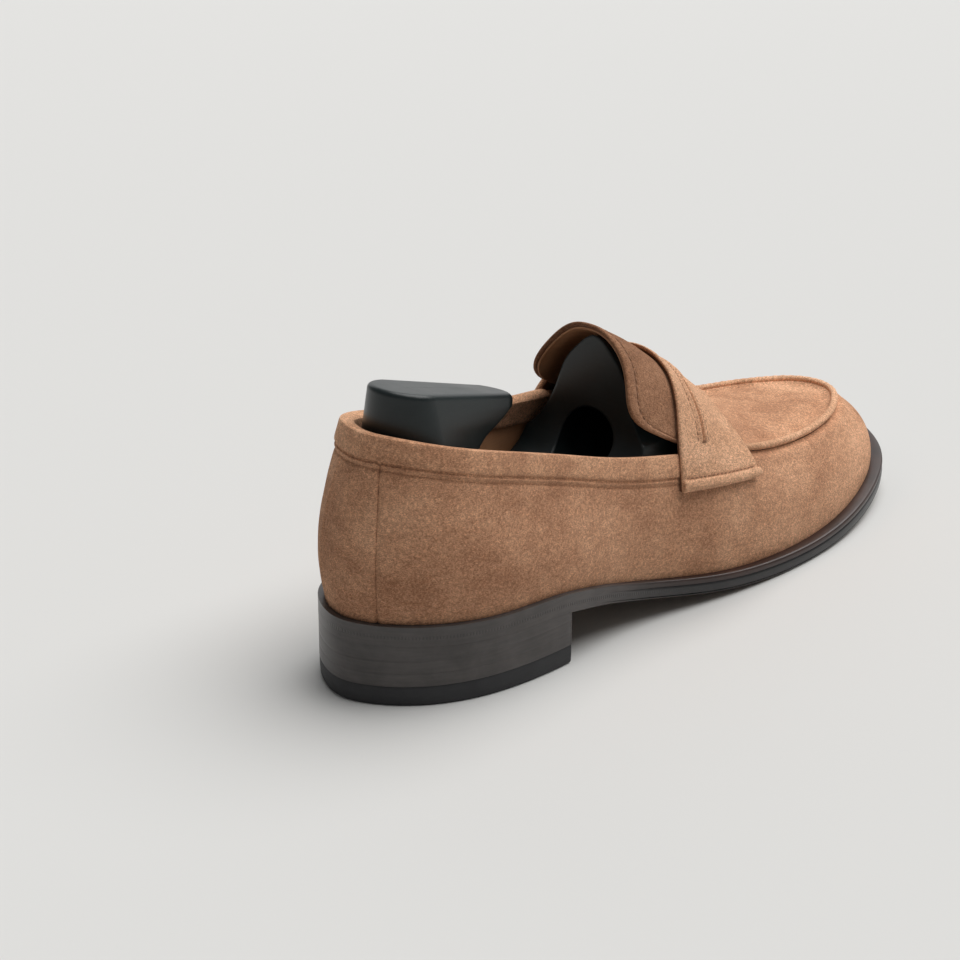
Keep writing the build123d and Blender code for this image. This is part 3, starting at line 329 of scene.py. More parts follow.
def shell(name, outer, inner, material, nodes, sharp=50):
    """A solid between two grids of the same shape, with a half-round edge all round."""
    rows, columns = outer.shape[:2]
    border = [(0, j) for j in range(columns)] + [(i, columns - 1) for i in range(1, rows)]
    border += [(rows - 1, j) for j in range(columns - 2, -1, -1)]
    border += [(i, 0) for i in range(rows - 2, 0, -1)]
    i, j = np.array(border).T
    outer_edge, inner_edge = outer[i, j], inner[i, j]
    one_in = outer[np.clip(i, 1, rows - 2), np.clip(j, 1, columns - 2)]
    away = unit(outer_edge - one_in + 1e-9)
    thick = np.linalg.norm(outer_edge - inner_edge, axis=1)[:, None]
    points = [outer.reshape(-1, 3), inner.reshape(-1, 3)]
    for share, bulge in HALF_ROUND:
        points.append(outer_edge * (1 - share) + inner_edge * share + away * thick * bulge)
    count, n = rows * columns, len(border)
    faces = grid_faces(rows, columns)
    faces += [[count + k for k in f[::-1]] for f in faces]
    outer_ids = (i * columns + j).tolist()
    levels = [outer_ids]
    levels += [[2 * count + k * n + m for m in range(n)] for k in range(len(HALF_ROUND))]
    levels += [[count + spot for spot in outer_ids]]
    for upper, lower in zip(levels[:-1], levels[1:]):
        for m in range(n):
            faces.append([upper[m], upper[(m + 1) % n], lower[(m + 1) % n], lower[m]])
    return outward(piece(name, np.vstack(points), faces, material, nodes, sharp=sharp))


def resample(path, step):
    """The path with evenly spaced points about a step apart."""
    run = run_along(path)
    count = max(2, int(run[-1] / step) + 1)
    even = np.linspace(0, run[-1], count)
    return np.stack([np.interp(even, run, path[:, k]) for k in range(3)], 1)


CAPSULE = ((-1, 0.25), (-0.8, 0.8), (0, 1.05), (0.8, 0.8), (1, 0.25))  # (half lengths, radii)
CAPSULE_SIDES = 6


def stitches(name, rows, pitch, length, radius):
    """Lockstitch thread: a row of short capsules along each path, lying on the surface."""
    points, faces = [], []
    turns = 2 * math.pi * np.arange(CAPSULE_SIDES) / CAPSULE_SIDES
    lap = grid_faces(len(CAPSULE), CAPSULE_SIDES, close_columns=True)
    for path in rows:
        knots = resample(path, pitch)
        for a, b in zip(knots[:-1], knots[1:]):
            size = np.linalg.norm(b - a)
            along = (b - a) / size
            side = unit(np.cross(along, (0.1, 0.2, 1.0)))
            up = np.cross(side, along)
            reach = min(length, size * 0.8) / 2
            start, last = len(points), (len(CAPSULE) - 1) * CAPSULE_SIDES
            for share, width in CAPSULE:
                for turn in turns:
                    offset = math.cos(turn) * side + math.sin(turn) * up
                    points.append((a + b) / 2 + along * reach * share + offset * radius * width)
            faces += [[start + p, start + q, start + r, start + t] for p, t, r, q in lap]
            faces.append([start + k for k in range(CAPSULE_SIDES)][::-1])
            faces.append([start + last + k for k in range(CAPSULE_SIDES)])
    return piece(name, np.array(points), faces, THREAD, (), sharp=80)


# ---------------- materials
def new_material(name):
    material = bpy.data.materials.new(name)
    material.use_nodes = True
    tree = material.node_tree
    return material, tree, tree.nodes["Principled BSDF"]


def join(socket, value):
    """Sets an input to a value, or links it to the socket given for it."""
    if isinstance(value, bpy.types.NodeSocket):
        socket.id_data.links.new(value, socket)
    else:
        socket.default_value = value


def fill(made, **inputs):
    """Sets or links a node's inputs by name, with _ for a space."""
    for name, value in inputs.items():
        join(made.inputs[name.replace("_", " ")], value)
    return made


def node(tree, kind, **inputs):
    return fill(tree.nodes.new("ShaderNode" + kind), **inputs)


def object_coordinates(tree, scale=(1, 1, 1), rotation=(0, 0, 0)):
    source = node(tree, "TexCoord").outputs["Object"]
    return node(tree, "Mapping", Vector=source, Scale=scale, Rotation=rotation).outputs["Vector"]


def noise_at(vector, scale, detail, rough=0.6, distortion=0.0):
    inputs = {"Scale": scale, "Detail": detail, "Roughness": rough, "Distortion": distortion}
    return node(vector.id_data, "TexNoise", Vector=vector, **inputs).outputs["Fac"]


def ramp(fac, stops):
    """The fac turned into a colour by (position, colour) stops."""
    made = node(fac.id_data, "ValToRGB", Fac=fac)
    elements = made.color_ramp.elements
    while len(elements) < len(stops):
        elements.new(0.5)
    for element, (place, colour) in zip(elements, stops):
        element.position = place
        element.color = (*colour, 1)
    return made.outputs["Color"]


def mix(fac, a, b, blend="MIX"):
    """The colour a mixed with b, which is a colour or a socket."""
    made = node(a.id_data, "Mix")
    made.data_type, made.blend_type = "RGBA", blend
    return fill(made, Factor=fac, A=a, B=(*b, 1) if isinstance(b, tuple) else b).outputs["Result"]


def calculate(operation, *values):
    """A Math node's result for values or sockets."""
    made = node(next(v.id_data for v in values if isinstance(v, bpy.types.NodeSocket)), "Math")
    made.operation = operation
    for socket, value in zip(made.inputs, values):
        join(socket, value)
    return made.outputs[0]


def bump(shader, layers):
    """Chains bump nodes; layers are (height socket, strength, distance in metres)."""
    normal = {}
    for height, strength, distance in layers:
        made = node(shader.id_data, "Bump", Height=height, Strength=strength, Distance=distance, **normal)
        normal = {"Normal": made.outputs["Normal"]}
    fill(shader, **normal)


def share_along(place, start, end):
    """A node that goes from 0 at x = start to 1 at x = end, in metres."""
    split = node(place.id_data, "SeparateXYZ", Vector=place)
    return node(place.id_data, "MapRange", Value=split.outputs["X"], From_Min=start, From_Max=end)


def polish(source, low, high):
    """Roughness between low and high, following the source."""
    return node(source.id_data, "MapRange", Value=source, To_Min=low, To_Max=high).outputs["Result"]


SPECKLE = [(0.38, (0.62, 0.57, 0.53)), (0.5, (0.97, 0.97, 0.97)), (0.62, (1.5, 1.46, 1.38))]
GRAIN_TONES = [(0.4, (0.72, 0.7, 0.68)), (0.6, (1.24, 1.24, 1.22))]
TOE_PAINTED_LIGHT_X, TOE_PAINTED_LIGHT_TINT = 0.11, (1.25, 1.27, 1.28)  # painted light: the suede's colour is lifted towards the toe, where more light falls


def suede(name, dark, mid, light):
    """Napped suede: mottled patches brushed lighter and darker, a short dense nap, and painted light lifting
    the colour towards the toe.
    """
    material, tree, shader = new_material(name)
    place = object_coordinates(tree)
    brushed = object_coordinates(tree, scale=(1.0, 1.0, 2.4), rotation=(0.3, 0.6, 0.2))
    patches = noise_at(place, 30, 5, 0.62, 0.5)
    strokes = noise_at(brushed, 130, 7, 0.72, 0.9)
    fibres = noise_at(brushed, 1700, 2, 0.8, 0.4)
    grains = noise_at(place, 950, 3, 0.75)
    tone = ramp(patches, [(0.34, dark), (0.5, mid), (0.68, light)])
    colour = mix(0.38, tone, ramp(strokes, [(0.3, dark), (0.5, mid), (0.7, light)]))
    colour = mix(0.75, colour, ramp(fibres, SPECKLE), "MULTIPLY")
    colour = mix(0.7, colour, ramp(grains, GRAIN_TONES), "MULTIPLY")
    # painted light: the colour is lightened from x = 0 towards the toe
    ahead = share_along(place, 0.0, TOE_PAINTED_LIGHT_X).outputs["Result"]
    colour = mix(ahead, colour, mix(1.0, colour, TOE_PAINTED_LIGHT_TINT, "MULTIPLY"))
    fill(shader, Base_Color=colour, Roughness=0.96, Specular_IOR_Level=0.12)
    fill(shader, Sheen_Weight=0.12, Sheen_Roughness=0.5, Sheen_Tint=(1.0, 0.8, 0.62, 1))
    bump(shader, [(strokes, 0.3, 0.0008), (grains, 0.6, 0.0005), (fibres, 0.8, 0.0004)])
    return material


STREAK_TONES = [(0.3, (0.7, 0.7, 0.7)), (0.7, (1.2, 1.2, 1.2))]


def leather(name, dark, light, rough, pore, pore_depth, specular=0.4):
    """Smooth leather: soft cloudiness, fine pores and an uneven polish."""
    material, tree, shader = new_material(name)
    place = object_coordinates(tree)
    clouds = noise_at(place, 45, 5, 0.6, 0.3)
    pores = noise_at(place, pore, 3)
    streaks = noise_at(object_coordinates(tree, scale=(0.15, 0.15, 4.0)), 420, 3)
    colour = ramp(clouds, [(0.35, dark), (0.68, light)])
    colour = mix(0.3, colour, ramp(streaks, STREAK_TONES), "MULTIPLY")
    fill(shader, Base_Color=colour, Roughness=polish(clouds, rough - 0.1, rough + 0.12))
    fill(shader, Specular_IOR_Level=specular)
    bump(shader, [(pores, pore_depth, 0.0002), (clouds, 0.1, 0.001)])
    return material


SUEDE = suede("snuff_suede", (0.345, 0.165, 0.093), (0.52, 0.28, 0.168), (0.70, 0.41, 0.26))
# painted light: the band's suede is lighter than the main suede, standing in for the light on its upward
# face
SUEDE_BINDING_PAINTED_LIGHT = suede("snuff_suede_binding_painted_light", (0.355, 0.172, 0.097), (0.56, 0.305, 0.183), (0.77, 0.46, 0.29))
# painted shade: the tongue's suede is much darker than the main suede, standing in for the shade on its
# backward-facing slope
SUEDE_TONGUE_PAINTED_SHADE = suede("snuff_suede_tongue_painted_shade", (0.195, 0.089, 0.048), (0.30, 0.15, 0.085), (0.44, 0.24, 0.145))
# painted light: the strap, the apron's seam roll and the bars get suede lighter than the main suede,
# standing in for the light on their raised faces
SUEDE_STRAP_PAINTED_LIGHT = suede("snuff_suede_strap_painted_light", (0.48, 0.262, 0.155), (0.64, 0.37, 0.23), (0.78, 0.48, 0.315))
# painted shade: very dark suede for the backing that shows only in the penny slot and under the strap's
# edges
SUEDE_SLOT_PAINTED_SHADE = suede("snuff_suede_inside_painted_shade", (0.11, 0.052, 0.028), (0.18, 0.09, 0.05), (0.25, 0.13, 0.075))
THREAD = leather("thread", (0.26, 0.135, 0.075), (0.40, 0.22, 0.13), 0.7, 2600, 0.5)
LINING = leather("tan_lining", (0.390, 0.186, 0.088), (0.546, 0.276, 0.144), 0.55, 1100, 0.25)
INSOLE = leather("insole_leather", (0.34, 0.18, 0.09), (0.45, 0.26, 0.14), 0.6, 1100, 0.25)


HEEL_TONES = [(0.35, (0.044, 0.038, 0.036)), (0.68, (0.078, 0.069, 0.066))]
LAYER_TONES = [(0.35, (0.72, 0.72, 0.72)), (0.65, (1.25, 1.23, 1.2))]
WAIST_FROM, WAIST_TO = -0.075, -0.005  # the edge's heel tone turns into its front tone between these x
WHEEL_PITCH = 1.15  # millimetres


def wheel_marks(tree, middle, half):
    """Ticks along an edge, within half of the middle of the layer's height."""
    uv = node(tree, "SeparateXYZ", Vector=node(tree, "UVMap").outputs["UV"]).outputs
    wave = calculate("SINE", calculate("MULTIPLY", uv["X"], 2 * math.pi / WHEEL_PITCH))
    off = calculate("ABSOLUTE", calculate("SUBTRACT", uv["Y"], middle))
    return calculate("MULTIPLY", calculate("MAXIMUM", wave, 0.0), calculate("LESS_THAN", off, half))


def polished_edge(name, front_dark, front_light, wheel=None):
    """Stained, burnished leather edge, greyer round the heel; wheel is the band of its marks."""
    material, tree, shader = new_material(name)
    place = object_coordinates(tree)
    clouds = noise_at(place, 60, 4, 0.6, 0.2)
    layers = noise_at(object_coordinates(tree, scale=(0.06, 0.06, 1.0)), 900, 4, 0.7)
    pores = noise_at(place, 1500, 2)
    front = ramp(clouds, [(0.35, front_dark), (0.68, front_light)])
    waist = share_along(place, WAIST_FROM, WAIST_TO)
    waist.interpolation_type = "SMOOTHSTEP"
    ahead = waist.outputs["Result"]
    colour = mix(ahead, ramp(clouds, HEEL_TONES), front)
    colour = mix(0.55, colour, ramp(layers, LAYER_TONES), "MULTIPLY")
    heights = [(layers, 0.12, 0.0003), (pores, 0.08, 0.0001)]
    if wheel:
        behind = calculate("SUBTRACT", 1.0, ahead)
        marks = calculate("MULTIPLY", wheel_marks(tree, *wheel), behind)
        colour = mix(calculate("MULTIPLY", marks, 0.35), colour, (0.01, 0.009, 0.009))
        heights.append((calculate("SUBTRACT", 1.0, marks), 0.5, 0.00025))
    fill(shader, Base_Color=colour, Roughness=polish(layers, 0.24, 0.46), Specular_IOR_Level=0.5)
    bump(shader, heights)
    return material


SOLE_EDGE = polished_edge("sole_edge", (0.010, 0.010, 0.011), (0.024, 0.023, 0.024), (0.7, 0.13))
HEEL_EDGE = polished_edge("heel_stack", (0.036, 0.031, 0.03), (0.06, 0.053, 0.05))
WELT = polished_edge("welt", (0.020, 0.009, 0.007), (0.042, 0.018, 0.013))
SOLE_BOTTOM = leather("sole_bottom", (0.135, 0.081, 0.045), (0.180, 0.117, 0.072), 0.5, 700, 0.2)
RUBBER = leather("black_rubber", (0.018, 0.018, 0.02), (0.034, 0.034, 0.036), 0.55, 2200, 0.35)
PAINT = leather("tree_paint", (0.008, 0.013, 0.014), (0.015, 0.023, 0.024), 0.34, 300, 0.06, 0.42)
PAINT_EDGE_RADIUS = 0.0014  # metres; the tree's crisp CAD edges look softened by paint
edge_round = node(PAINT.node_tree, "Bevel", Radius=PAINT_EDGE_RADIUS)
edge_round.samples = 6
first_bump = next(n for n in PAINT.node_tree.nodes if n.type == "BUMP" and not n.inputs["Normal"].is_linked)
fill(first_bump, Normal=edge_round.outputs["Normal"])
STEEL = leather("steel_pin", (0.35, 0.35, 0.36), (0.55, 0.55, 0.56), 0.3, 800, 0.05)
fill(STEEL.node_tree.nodes["Principled BSDF"], Metallic=1.0)

# ---------------- side walls
UPPER_LEATHER = 1.4
LINING_FACE, LINING_BACK = 2.5, 3.4
COUNTER_SEAM, SEAM_GAP = 0.04, 0.0002  # shares of a side's run from heel to toe
SIDE_RUN = 330  # about the length of a side's run
FINE_BAND = 12.0  # the rows are closer in this band under the rim
BINDING_GROOVES = ((1.15, 0.1, 0.5), (-0.5, 1.3, 0.7), (0.45, 2.6, 0.6))  # (depth, below, half width)
BINDING_HEIGHT, BINDING_LEATHER, BINDING_GAP = 7.0, 0.85, 0.12
BINDING_END_X = -12.5
BINDING_TO_X, APRON_FROM_X = -14, 22  # where the grooves under the binding end and the apron's begins


def round_end(end, middle, count, make):
    """Sections from end on the lateral side through the heel (middle 0) or toe (1) to the medial side."""
    ends = end if isinstance(end, dict) else {LATERAL: end, MEDIAL: end}
    lateral = np.linspace(ends[LATERAL], middle, count)
    medial = np.linspace(middle, ends[MEDIAL], count)[1:]
    return np.concatenate([make(LATERAL, lateral), make(MEDIAL, medial)])


def rim_fractions(x):
    """The fraction on each side where the rim passes x."""
    return {side: float(np.interp(x, WALL_TOP[side][:, 0], FRACTIONS)) for side in SIDES}


def ridge(distance, middle, half_width):
    """1 at distance = middle, fading smoothly on both sides."""
    return np.exp(-(((distance - middle) / half_width) ** 2))


def suede_section(side, s):
    """Rings across a suede wall piece: up the outer face, over the cut edge, down the inner face."""
    wall = Wall(side, s)
    length = wall.length[:, None]
    fine = FINE_BAND / length
    low_rows = np.linspace(0, 1, 30)[None, :] * (1 - fine)
    high = np.concatenate([low_rows, 1 - fine * np.linspace(0.97, 0, 28)[None, :]], 1)
    from_rim = (1 - high) * length
    plain = wall.points(high)
    wave = 0.22 * rumple(plain, 24.0, 3.1) + 0.10 * rumple(plain, 7.0, 9.2)
    wave *= np.clip(from_rim / 6, 0, 1) * np.clip(high * 8, 0, 1)
    front = np.clip((plain[..., 0] - APRON_FROM_X) / 8, 0, 1)
    back = np.clip((BINDING_TO_X - plain[..., 0]) / 4, 0, 1)
    groove = 0
    for depth, below, half_width in BINDING_GROOVES:
        groove += depth * ridge(from_rim, BINDING_HEIGHT + below, half_width) * back
    groove += 0.8 * ridge(from_rim, 0.3, 1.1) * front
    puff = 0.4 * ridge(from_rim, 3.4, 1.8) * front
    pucker = 0.2 * rumple(plain, 4.4, 6.6)
    away = (np.asarray(s)[:, None] - COUNTER_SEAM) * SIDE_RUN + pucker
    seam = 0.55 * ridge(away, 0, 0.55) - (0.26 + 1.3 * pucker) * ridge(np.abs(away), 2.0, 1.3)
    face = wall.points(high, groove + seam - puff - wave)
    edge_depth, edge_rise = np.array([[0.35, 0.7, 1.05]]), np.array([[0.15, 0.2, 0.15]])
    edge = wall.points(np.ones(3), edge_depth + 0 * length, edge_rise + 0 * length)
    back_face = wall.points(np.linspace(1, 0, 10), UPPER_LEATHER + 0 * length * np.ones((1, 10)))
    return np.concatenate([face, edge, back_face], 1)


tube("vamp_suede", round_end(COUNTER_SEAM + SEAM_GAP, 1, 230, suede_section), SUEDE, ["vamp"])
tube("heel_strip_suede", round_end(COUNTER_SEAM - SEAM_GAP, 0, 30, suede_section), SUEDE, ["heel_strip"])


def lining_section(top):
    """Makes rings across a lining piece that reaches the share top of the wall."""

    def section(side, s):
        wall = Wall(side, s)
        same = 0 * wall.length[:, None]
        up = np.linspace(0, top, 20)
        inner = wall.points(up, LINING_BACK + same + 0.12 * rumple(wall.points(up), 18.0, 5.0))
        outer = wall.points(up[::-1], LINING_FACE + same * up[None, :])
        return np.concatenate([inner, outer], 1)

    return section


LINING_SEAM, LINING_GAP = 0.47, 0.001
quarter = round_end(LINING_SEAM - LINING_GAP, 0, 100, lining_section(0.985))
tube("quarter_lining_leather", quarter, LINING, ["quarter_lining"])
forward = round_end(LINING_SEAM + LINING_GAP, 1, 100, lining_section(0.93))
tube("vamp_lining_leather", forward, LINING, ["vamp_lining"])


def binding_section(side, s):
    """The padded band folded over the topline, from its outer lower edge to its inner one."""
    wall = Wall(side, s)
    n, length = len(wall.length), wall.length[:, None]
    below = np.array([7.0, 6.97, 6.85, 6.5, 5.9, 5.1, 4.2, 3.2, 2.2, 1.2, 0.4])
    proud = np.array([0.12, 0.4, 0.66, 0.86, 0.96, 1.0, 1.0, 0.99, 0.98, 0.97, 0.96])
    outer_v = 1 - below[None, :] / length
    proud = np.tile(proud, (n, 1))
    outer = wall.points(outer_v, -(proud + 0.10 * rumple(wall.points(outer_v, -proud), 7.0, 1.7)))
    crown = []
    centre = LINING_BACK / 2
    reach = centre + BINDING_GAP + BINDING_LEATHER
    for turn in np.linspace(0.12, 0.88, 9) * math.pi:
        depth = np.full((n, 1), centre - reach * math.cos(turn))
        crown.append(wall.points(np.ones(1), depth, np.full((n, 1), 0.1 + 0.95 * math.sin(turn))))
    inner_below = np.array([0.3, 2.5, 5.0, 7.5, 9.0, 9.6, 9.8])
    inner_depth = LINING_BACK + BINDING_GAP + np.array([0.85, 0.9, 0.9, 0.88, 0.8, 0.5, 0.1])
    inner = wall.points(1 - inner_below[None, :] / length, np.tile(inner_depth, (n, 1)))
    inner_back = wall.points(1 - np.array([[9.0, 3.0, 0.4]]) / length, np.full((n, 3), LINING_BACK + 0.03))
    bridge = wall.points(np.ones(2), np.tile([LINING_BACK - 0.3, 0.3], (n, 1)), np.full((n, 2), 0.12))
    outer_back = wall.points(1 - np.array([[0.4, 3.0, 8.0]]) / length, np.full((n, 3), -0.03))
    return np.concatenate([outer, *crown, inner, inner_back, bridge, outer_back], 1)


band = round_end(rim_fractions(BINDING_END_X), 0, 170, binding_section)
tube("topline_band", band, SUEDE_BINDING_PAINTED_LIGHT, ["topline_binding"])

# ---------------- apron and its seam
STRAP_JOINT_X = 20.0


def plan_edge(side, margin):
    """The rim's plan curve moved inwards by margin, as y against x."""
    table = RIM[side]
    along = unit(np.gradient(table[:, :2], axis=0))
    inset = table[:, :2] + np.stack([-along[:, 1], along[:, 0]], 1) * -side * margin
    keep = np.concatenate([[True], np.diff(np.maximum.accumulate(inset[:, 0])) > 0])
    return inset[keep]


def apron_grid(margin, offset, rows=150, columns=91, lift=0.0):
    """The apron's surface inside its seam; lift rolls its border up and adds small waves."""
    edges = {side: plan_edge(side, margin) for side in SIDES}
    tip = min(edges[LATERAL][-1, 0], edges[MEDIAL][-1, 0]) - 0.02
    xs = STRAP_JOINT_X + (tip - STRAP_JOINT_X) * np.sin(np.linspace(0, math.pi / 2, rows))
    low = np.interp(xs, edges[LATERAL][:, 0], edges[LATERAL][:, 1])
    high = np.interp(xs, edges[MEDIAL][:, 0], edges[MEDIAL][:, 1])
    across = 0.5 - 0.5 * np.cos(np.linspace(0, math.pi, columns))
    y = low[:, None] + (high - low)[:, None] * across[None, :]
    x = np.broadcast_to(xs[:, None], y.shape)
    width = np.where(y < CREST_Y, half_width[LATERAL](x), half_width[MEDIAL](x))
    t = (y - CREST_Y) / width
    border = np.vstack([edges[LATERAL], edges[MEDIAL]])
    border = border[border[:, 0] > STRAP_JOINT_X - 6]
    plan = np.stack([x, y], -1).reshape(-1, 1, 2)
    distance = np.min(np.linalg.norm(plan - border[None, :, :], axis=-1), axis=1).reshape(y.shape)
    rolled = lift * (ridge(distance, 0, 1.7) - 0.35 * ridge(distance, 4, 2.2))
    points = arch_points(x, t, offset + rolled)
    if lift:
        waves = 0.18 * rumple(points, 22.0, 7.7) + 0.08 * rumple(points, 6.0, 2.0)
        points[..., 2] += waves * np.clip(distance / 5, 0, 1)
    return points


outer, inner = apron_grid(1.9, 0.0, lift=0.9), apron_grid(1.9, -UPPER_LEATHER)
shell("apron_suede", outer, inner, SUEDE, ["apron"])
outer, inner = apron_grid(2.9, -1.5, 60, 41), apron_grid(2.9, -2.35, 60, 41)
shell("apron_lining_leather", outer, inner, LINING, ["apron_lining"])

SEAM_START_X, SEAM_RADIUS, SEAM_OUTSET, SEAM_RISE, SEAM_PINCH_PITCH = 25.6, 1.4, 1.0, 1.5, 3.4


def seam_section(side, s):
    """The raised rolled seam: a bean-shaped ring leaning over the groove on its outer side."""
    wall = Wall(side, s)
    centre = wall.points(np.array([1.0]), 0, 0)[:, 0]
    centre[:, :2] -= wall.out * SEAM_OUTSET
    centre[:, 2] += SEAM_RISE
    run = run_along(centre)
    pinch = 1 + 0.05 * np.sin(2 * math.pi * run / SEAM_PINCH_PITCH) + 0.05 * rumple(centre, 5.0, 4.4)
    ring = []
    for turn in np.linspace(0, 2 * math.pi, 16, endpoint=False):
        across = SEAM_RADIUS * math.cos(turn)
        up = SEAM_RADIUS * math.sin(turn) + 0.12 * math.cos(2 * turn)
        point = centre.copy()
        point[:, :2] += wall.out * (across * pinch)[:, None]
        point[:, 2] += up * pinch
        ring.append(point)
    return np.stack(ring, 1)


roll = round_end(rim_fractions(SEAM_START_X), 1, 260, seam_section)
tube("apron_seam_roll", roll, SUEDE_STRAP_PAINTED_LIGHT, ["apron_seam"])

# ---------------- tongue
TONGUE_EDGE = {
    LATERAL: [
        (-22, 106), (-22.2, 97), (-23.5, 90), (-26.5, 83.5), (-29.3, 77.5), (-28.8, 72.5), (-24, 67.5),
        (-11, 60.3),
    ],
    MEDIAL: [
        (-22, 106), (-22.2, 97), (-23.5, 91), (-25, 86), (-25.5, 81.5), (-23.5, 77), (-18, 72), (-8, 67),
    ],
}
TONGUE_SHARE, TONGUE_FRONT_X, TONGUE_STITCH_INSET = 0.94, 19.8, 4.3


def tongue_edge_x(t, inset):
    """Where the tongue's free edge crosses the line of constant t."""
    side = LATERAL if t < 0 else MEDIAL
    points = np.array(TONGUE_EDGE[side][::-1], float)
    edge = through(points[:, 1], points[:, 0])
    xs = np.linspace(12, -36, 400)
    z = arch(xs, t)[:, 1]
    below_edge = points[0, 0] + (points[0, 1] - z) * 1.6
    gap = xs - inset - np.where(z < points[0, 1], below_edge, edge(z))
    k = int(np.argmax(gap < 0)) if np.any(gap < 0) else len(xs) - 1
    return float(xs[k - 1] + (xs[k] - xs[k - 1]) * gap[k - 1] / (gap[k - 1] - gap[k] + 1e-9))


def tongue_grid(offset, inset, roll=0.0, rows=70, columns=101):
    """The tongue's surface; roll is the height of the bead along its free edge."""
    ts = np.linspace(-TONGUE_SHARE, TONGUE_SHARE, columns)
    start = np.array([tongue_edge_x(t, inset) for t in ts])
    for _ in range(3):  # smooths the free edge
        start[1:-1] = 0.25 * start[:-2] + 0.5 * start[1:-1] + 0.25 * start[2:]
    share = np.linspace(0, 1, rows) ** 1.6
    x = start[None, :] + (TONGUE_FRONT_X - start)[None, :] * share[:, None]
    t = np.broadcast_to(ts[None, :], x.shape)
    from_edge = x - start[None, :]
    bead = roll * (ridge(from_edge, 1.6, 1.6) - 0.9 * ridge(from_edge, 4.2, 0.55))
    points = arch_points(x, t, offset + bead)
    if roll:
        points[..., 2] += 0.2 * rumple(points, 16.0, 6.1)
    return points


outer, inner = tongue_grid(0.0, 0.0, roll=0.35), tongue_grid(-UPPER_LEATHER, 0.0)
shell("tongue_suede", outer, inner, SUEDE_TONGUE_PAINTED_SHADE, ["tongue"])
outer, inner = tongue_grid(-1.48, 0.6), tongue_grid(-2.35, 0.6)
shell("tongue_lining_leather", outer, inner, LINING, ["tongue_lining"])

# ---------------- saddle strap
STRAP_REAR = [(-24, -50), (-15.5, -38.2), (-12, -34), (-5, -26.5), (0.5, -19), (4.5, -9), (5.5, 0)]
STRAP_FRONT = [(25, -50), (24.6, -37.5), (25.5, -30), (27.5, -19.5), (33, -10.5), (42, 0)]
SLOT_LINE = [(-6, -46), (0.6, -34.2), (4.2, -28.6), (7.2, -22.3), (11.5, -14.5), (15.5, -7), (17, 0)]
MEDIAL_SHARE = 0.82
STRAP_FACE, STRAP_LEATHER = 1.15, 1.4
STRAP_TOP = STRAP_FACE + STRAP_LEATHER
SLOT_REACH = 0.362  # of the contour's length, each way from the crest
STRAP_LENGTH = 118.0  # over the foot, from end to end
strap_reach = through([-19, 5, 26, 44], [12.0, 11.2, 9.2, 7.0])


def x_of_y(points):
    """x against y for a line across the strap, mirrored onto the medial side."""
    both = points + [(x, CREST_Y + MEDIAL_SHARE * (CREST_Y - y)) for x, y in points[-2::-1]]
    both = np.array(both, float)
    order = np.argsort(both[:, 1])
    return through(both[order, 1], both[order, 0])


rear_x, front_x, slot_x = x_of_y(STRAP_REAR), x_of_y(STRAP_FRONT), x_of_y(SLOT_LINE)


def wall_at_x(side, x, v):
    """(y, z) of the wall at x and height share v."""
    low, high = 0.0, 1.0
    for _ in range(18):
        middle = (low + high) / 2
        spot = Wall(side, middle).points(np.array([v]))[0, 0]
        if spot[0] < x:
            low = middle
        else:
            high = middle
    return spot[1:]


def contour(x, samples=161):
    """The upper's outline at x, evenly sampled from the strap's lateral end over the crest."""
    halves = []
    for side, fraction in rim_fractions(x).items():
        length = Wall(side, fraction).length[0]
        reach = float(strap_reach(x)) / length
        down = [wall_at_x(side, x, 1 - share * reach) for share in (1, 0.66, 0.33)]
        top = [arch(x, side * t) for t in (0.95, 0.8, 0.62, 0.42, 0.2)]
        halves.append(np.array(down + top))
    points = np.vstack([halves[0], arch(x, 0.0)[None, :], halves[1][::-1]])
    run = run_along(points)
    even = np.linspace(0, run[-1], samples)
    return np.stack([through(run, points[:, k])(even) for k in range(2)], 1)


CONTOUR_X = np.linspace(-26, 44, 36)
CONTOURS = np.array([contour(x) for x in CONTOUR_X])
ACROSS = CONTOURS.shape[1]


def on_contour(x, a, offset):
    """Points offset from the upper at x; a runs from 0 at the lateral end to 1 at the medial end."""
    x, a, offset = np.broadcast_arrays(x, a, offset)
    i = np.clip((x - CONTOUR_X[0]) / (CONTOUR_X[1] - CONTOUR_X[0]), 0, len(CONTOUR_X) - 1.001)
    j = np.clip(a * (ACROSS - 1), 0.001, ACROSS - 1.001)

    def value(i, j):
        i0, j0 = i.astype(int), j.astype(int)
        fi, fj = (i - i0)[..., None], (j - j0)[..., None]
        near = CONTOURS[i0, j0] * (1 - fj) + CONTOURS[i0, j0 + 1] * fj
        far = CONTOURS[i0 + 1, j0] * (1 - fj) + CONTOURS[i0 + 1, j0 + 1] * fj
        return near * (1 - fi) + far * fi

    here = value(i, j)
    ahead, behind = (value(i, np.clip(j + step, 0, ACROSS - 1.001)) for step in (1.5, -1.5))
    along = unit(ahead - behind)
    outwards = np.stack([-along[..., 1], along[..., 0]], -1)
    yz = here + offset[..., None] * outwards
    return np.concatenate([x[..., None], yz], -1)


def strap_place(a, p):
    """x on the strap at a, where p is 0 at the rear edge, 0.5 on the slot and 1 at the front edge."""
    x = np.full(np.broadcast(a, p).shape, 8.0)
    for _ in range(25):
        y = on_contour(x, a, 0.0)[..., 1]
        rear, slot_line, front = rear_x(y), slot_x(y), front_x(y)
        behind_slot = rear + (slot_line - rear) * p * 2
        ahead_of_slot = slot_line + (front - slot_line) * (p - 0.5) * 2
        x = 0.5 * x + 0.5 * np.where(p < 0.5, behind_slot, ahead_of_slot)
    return x


NEAR_SLOT = np.array([0, 0.2, 0.4, 0.55, 0.7, 0.9, 1.2, 1.6, 2.1, 2.8, 3.8, 5.2]) / 24
REAR_ROWS = [0, 0.02, 0.045, 0.08, 0.12, 0.17, 0.22]
FRONT_ROWS = [0.78, 0.84, 0.89, 0.93, 0.96, 0.98, 1.0]


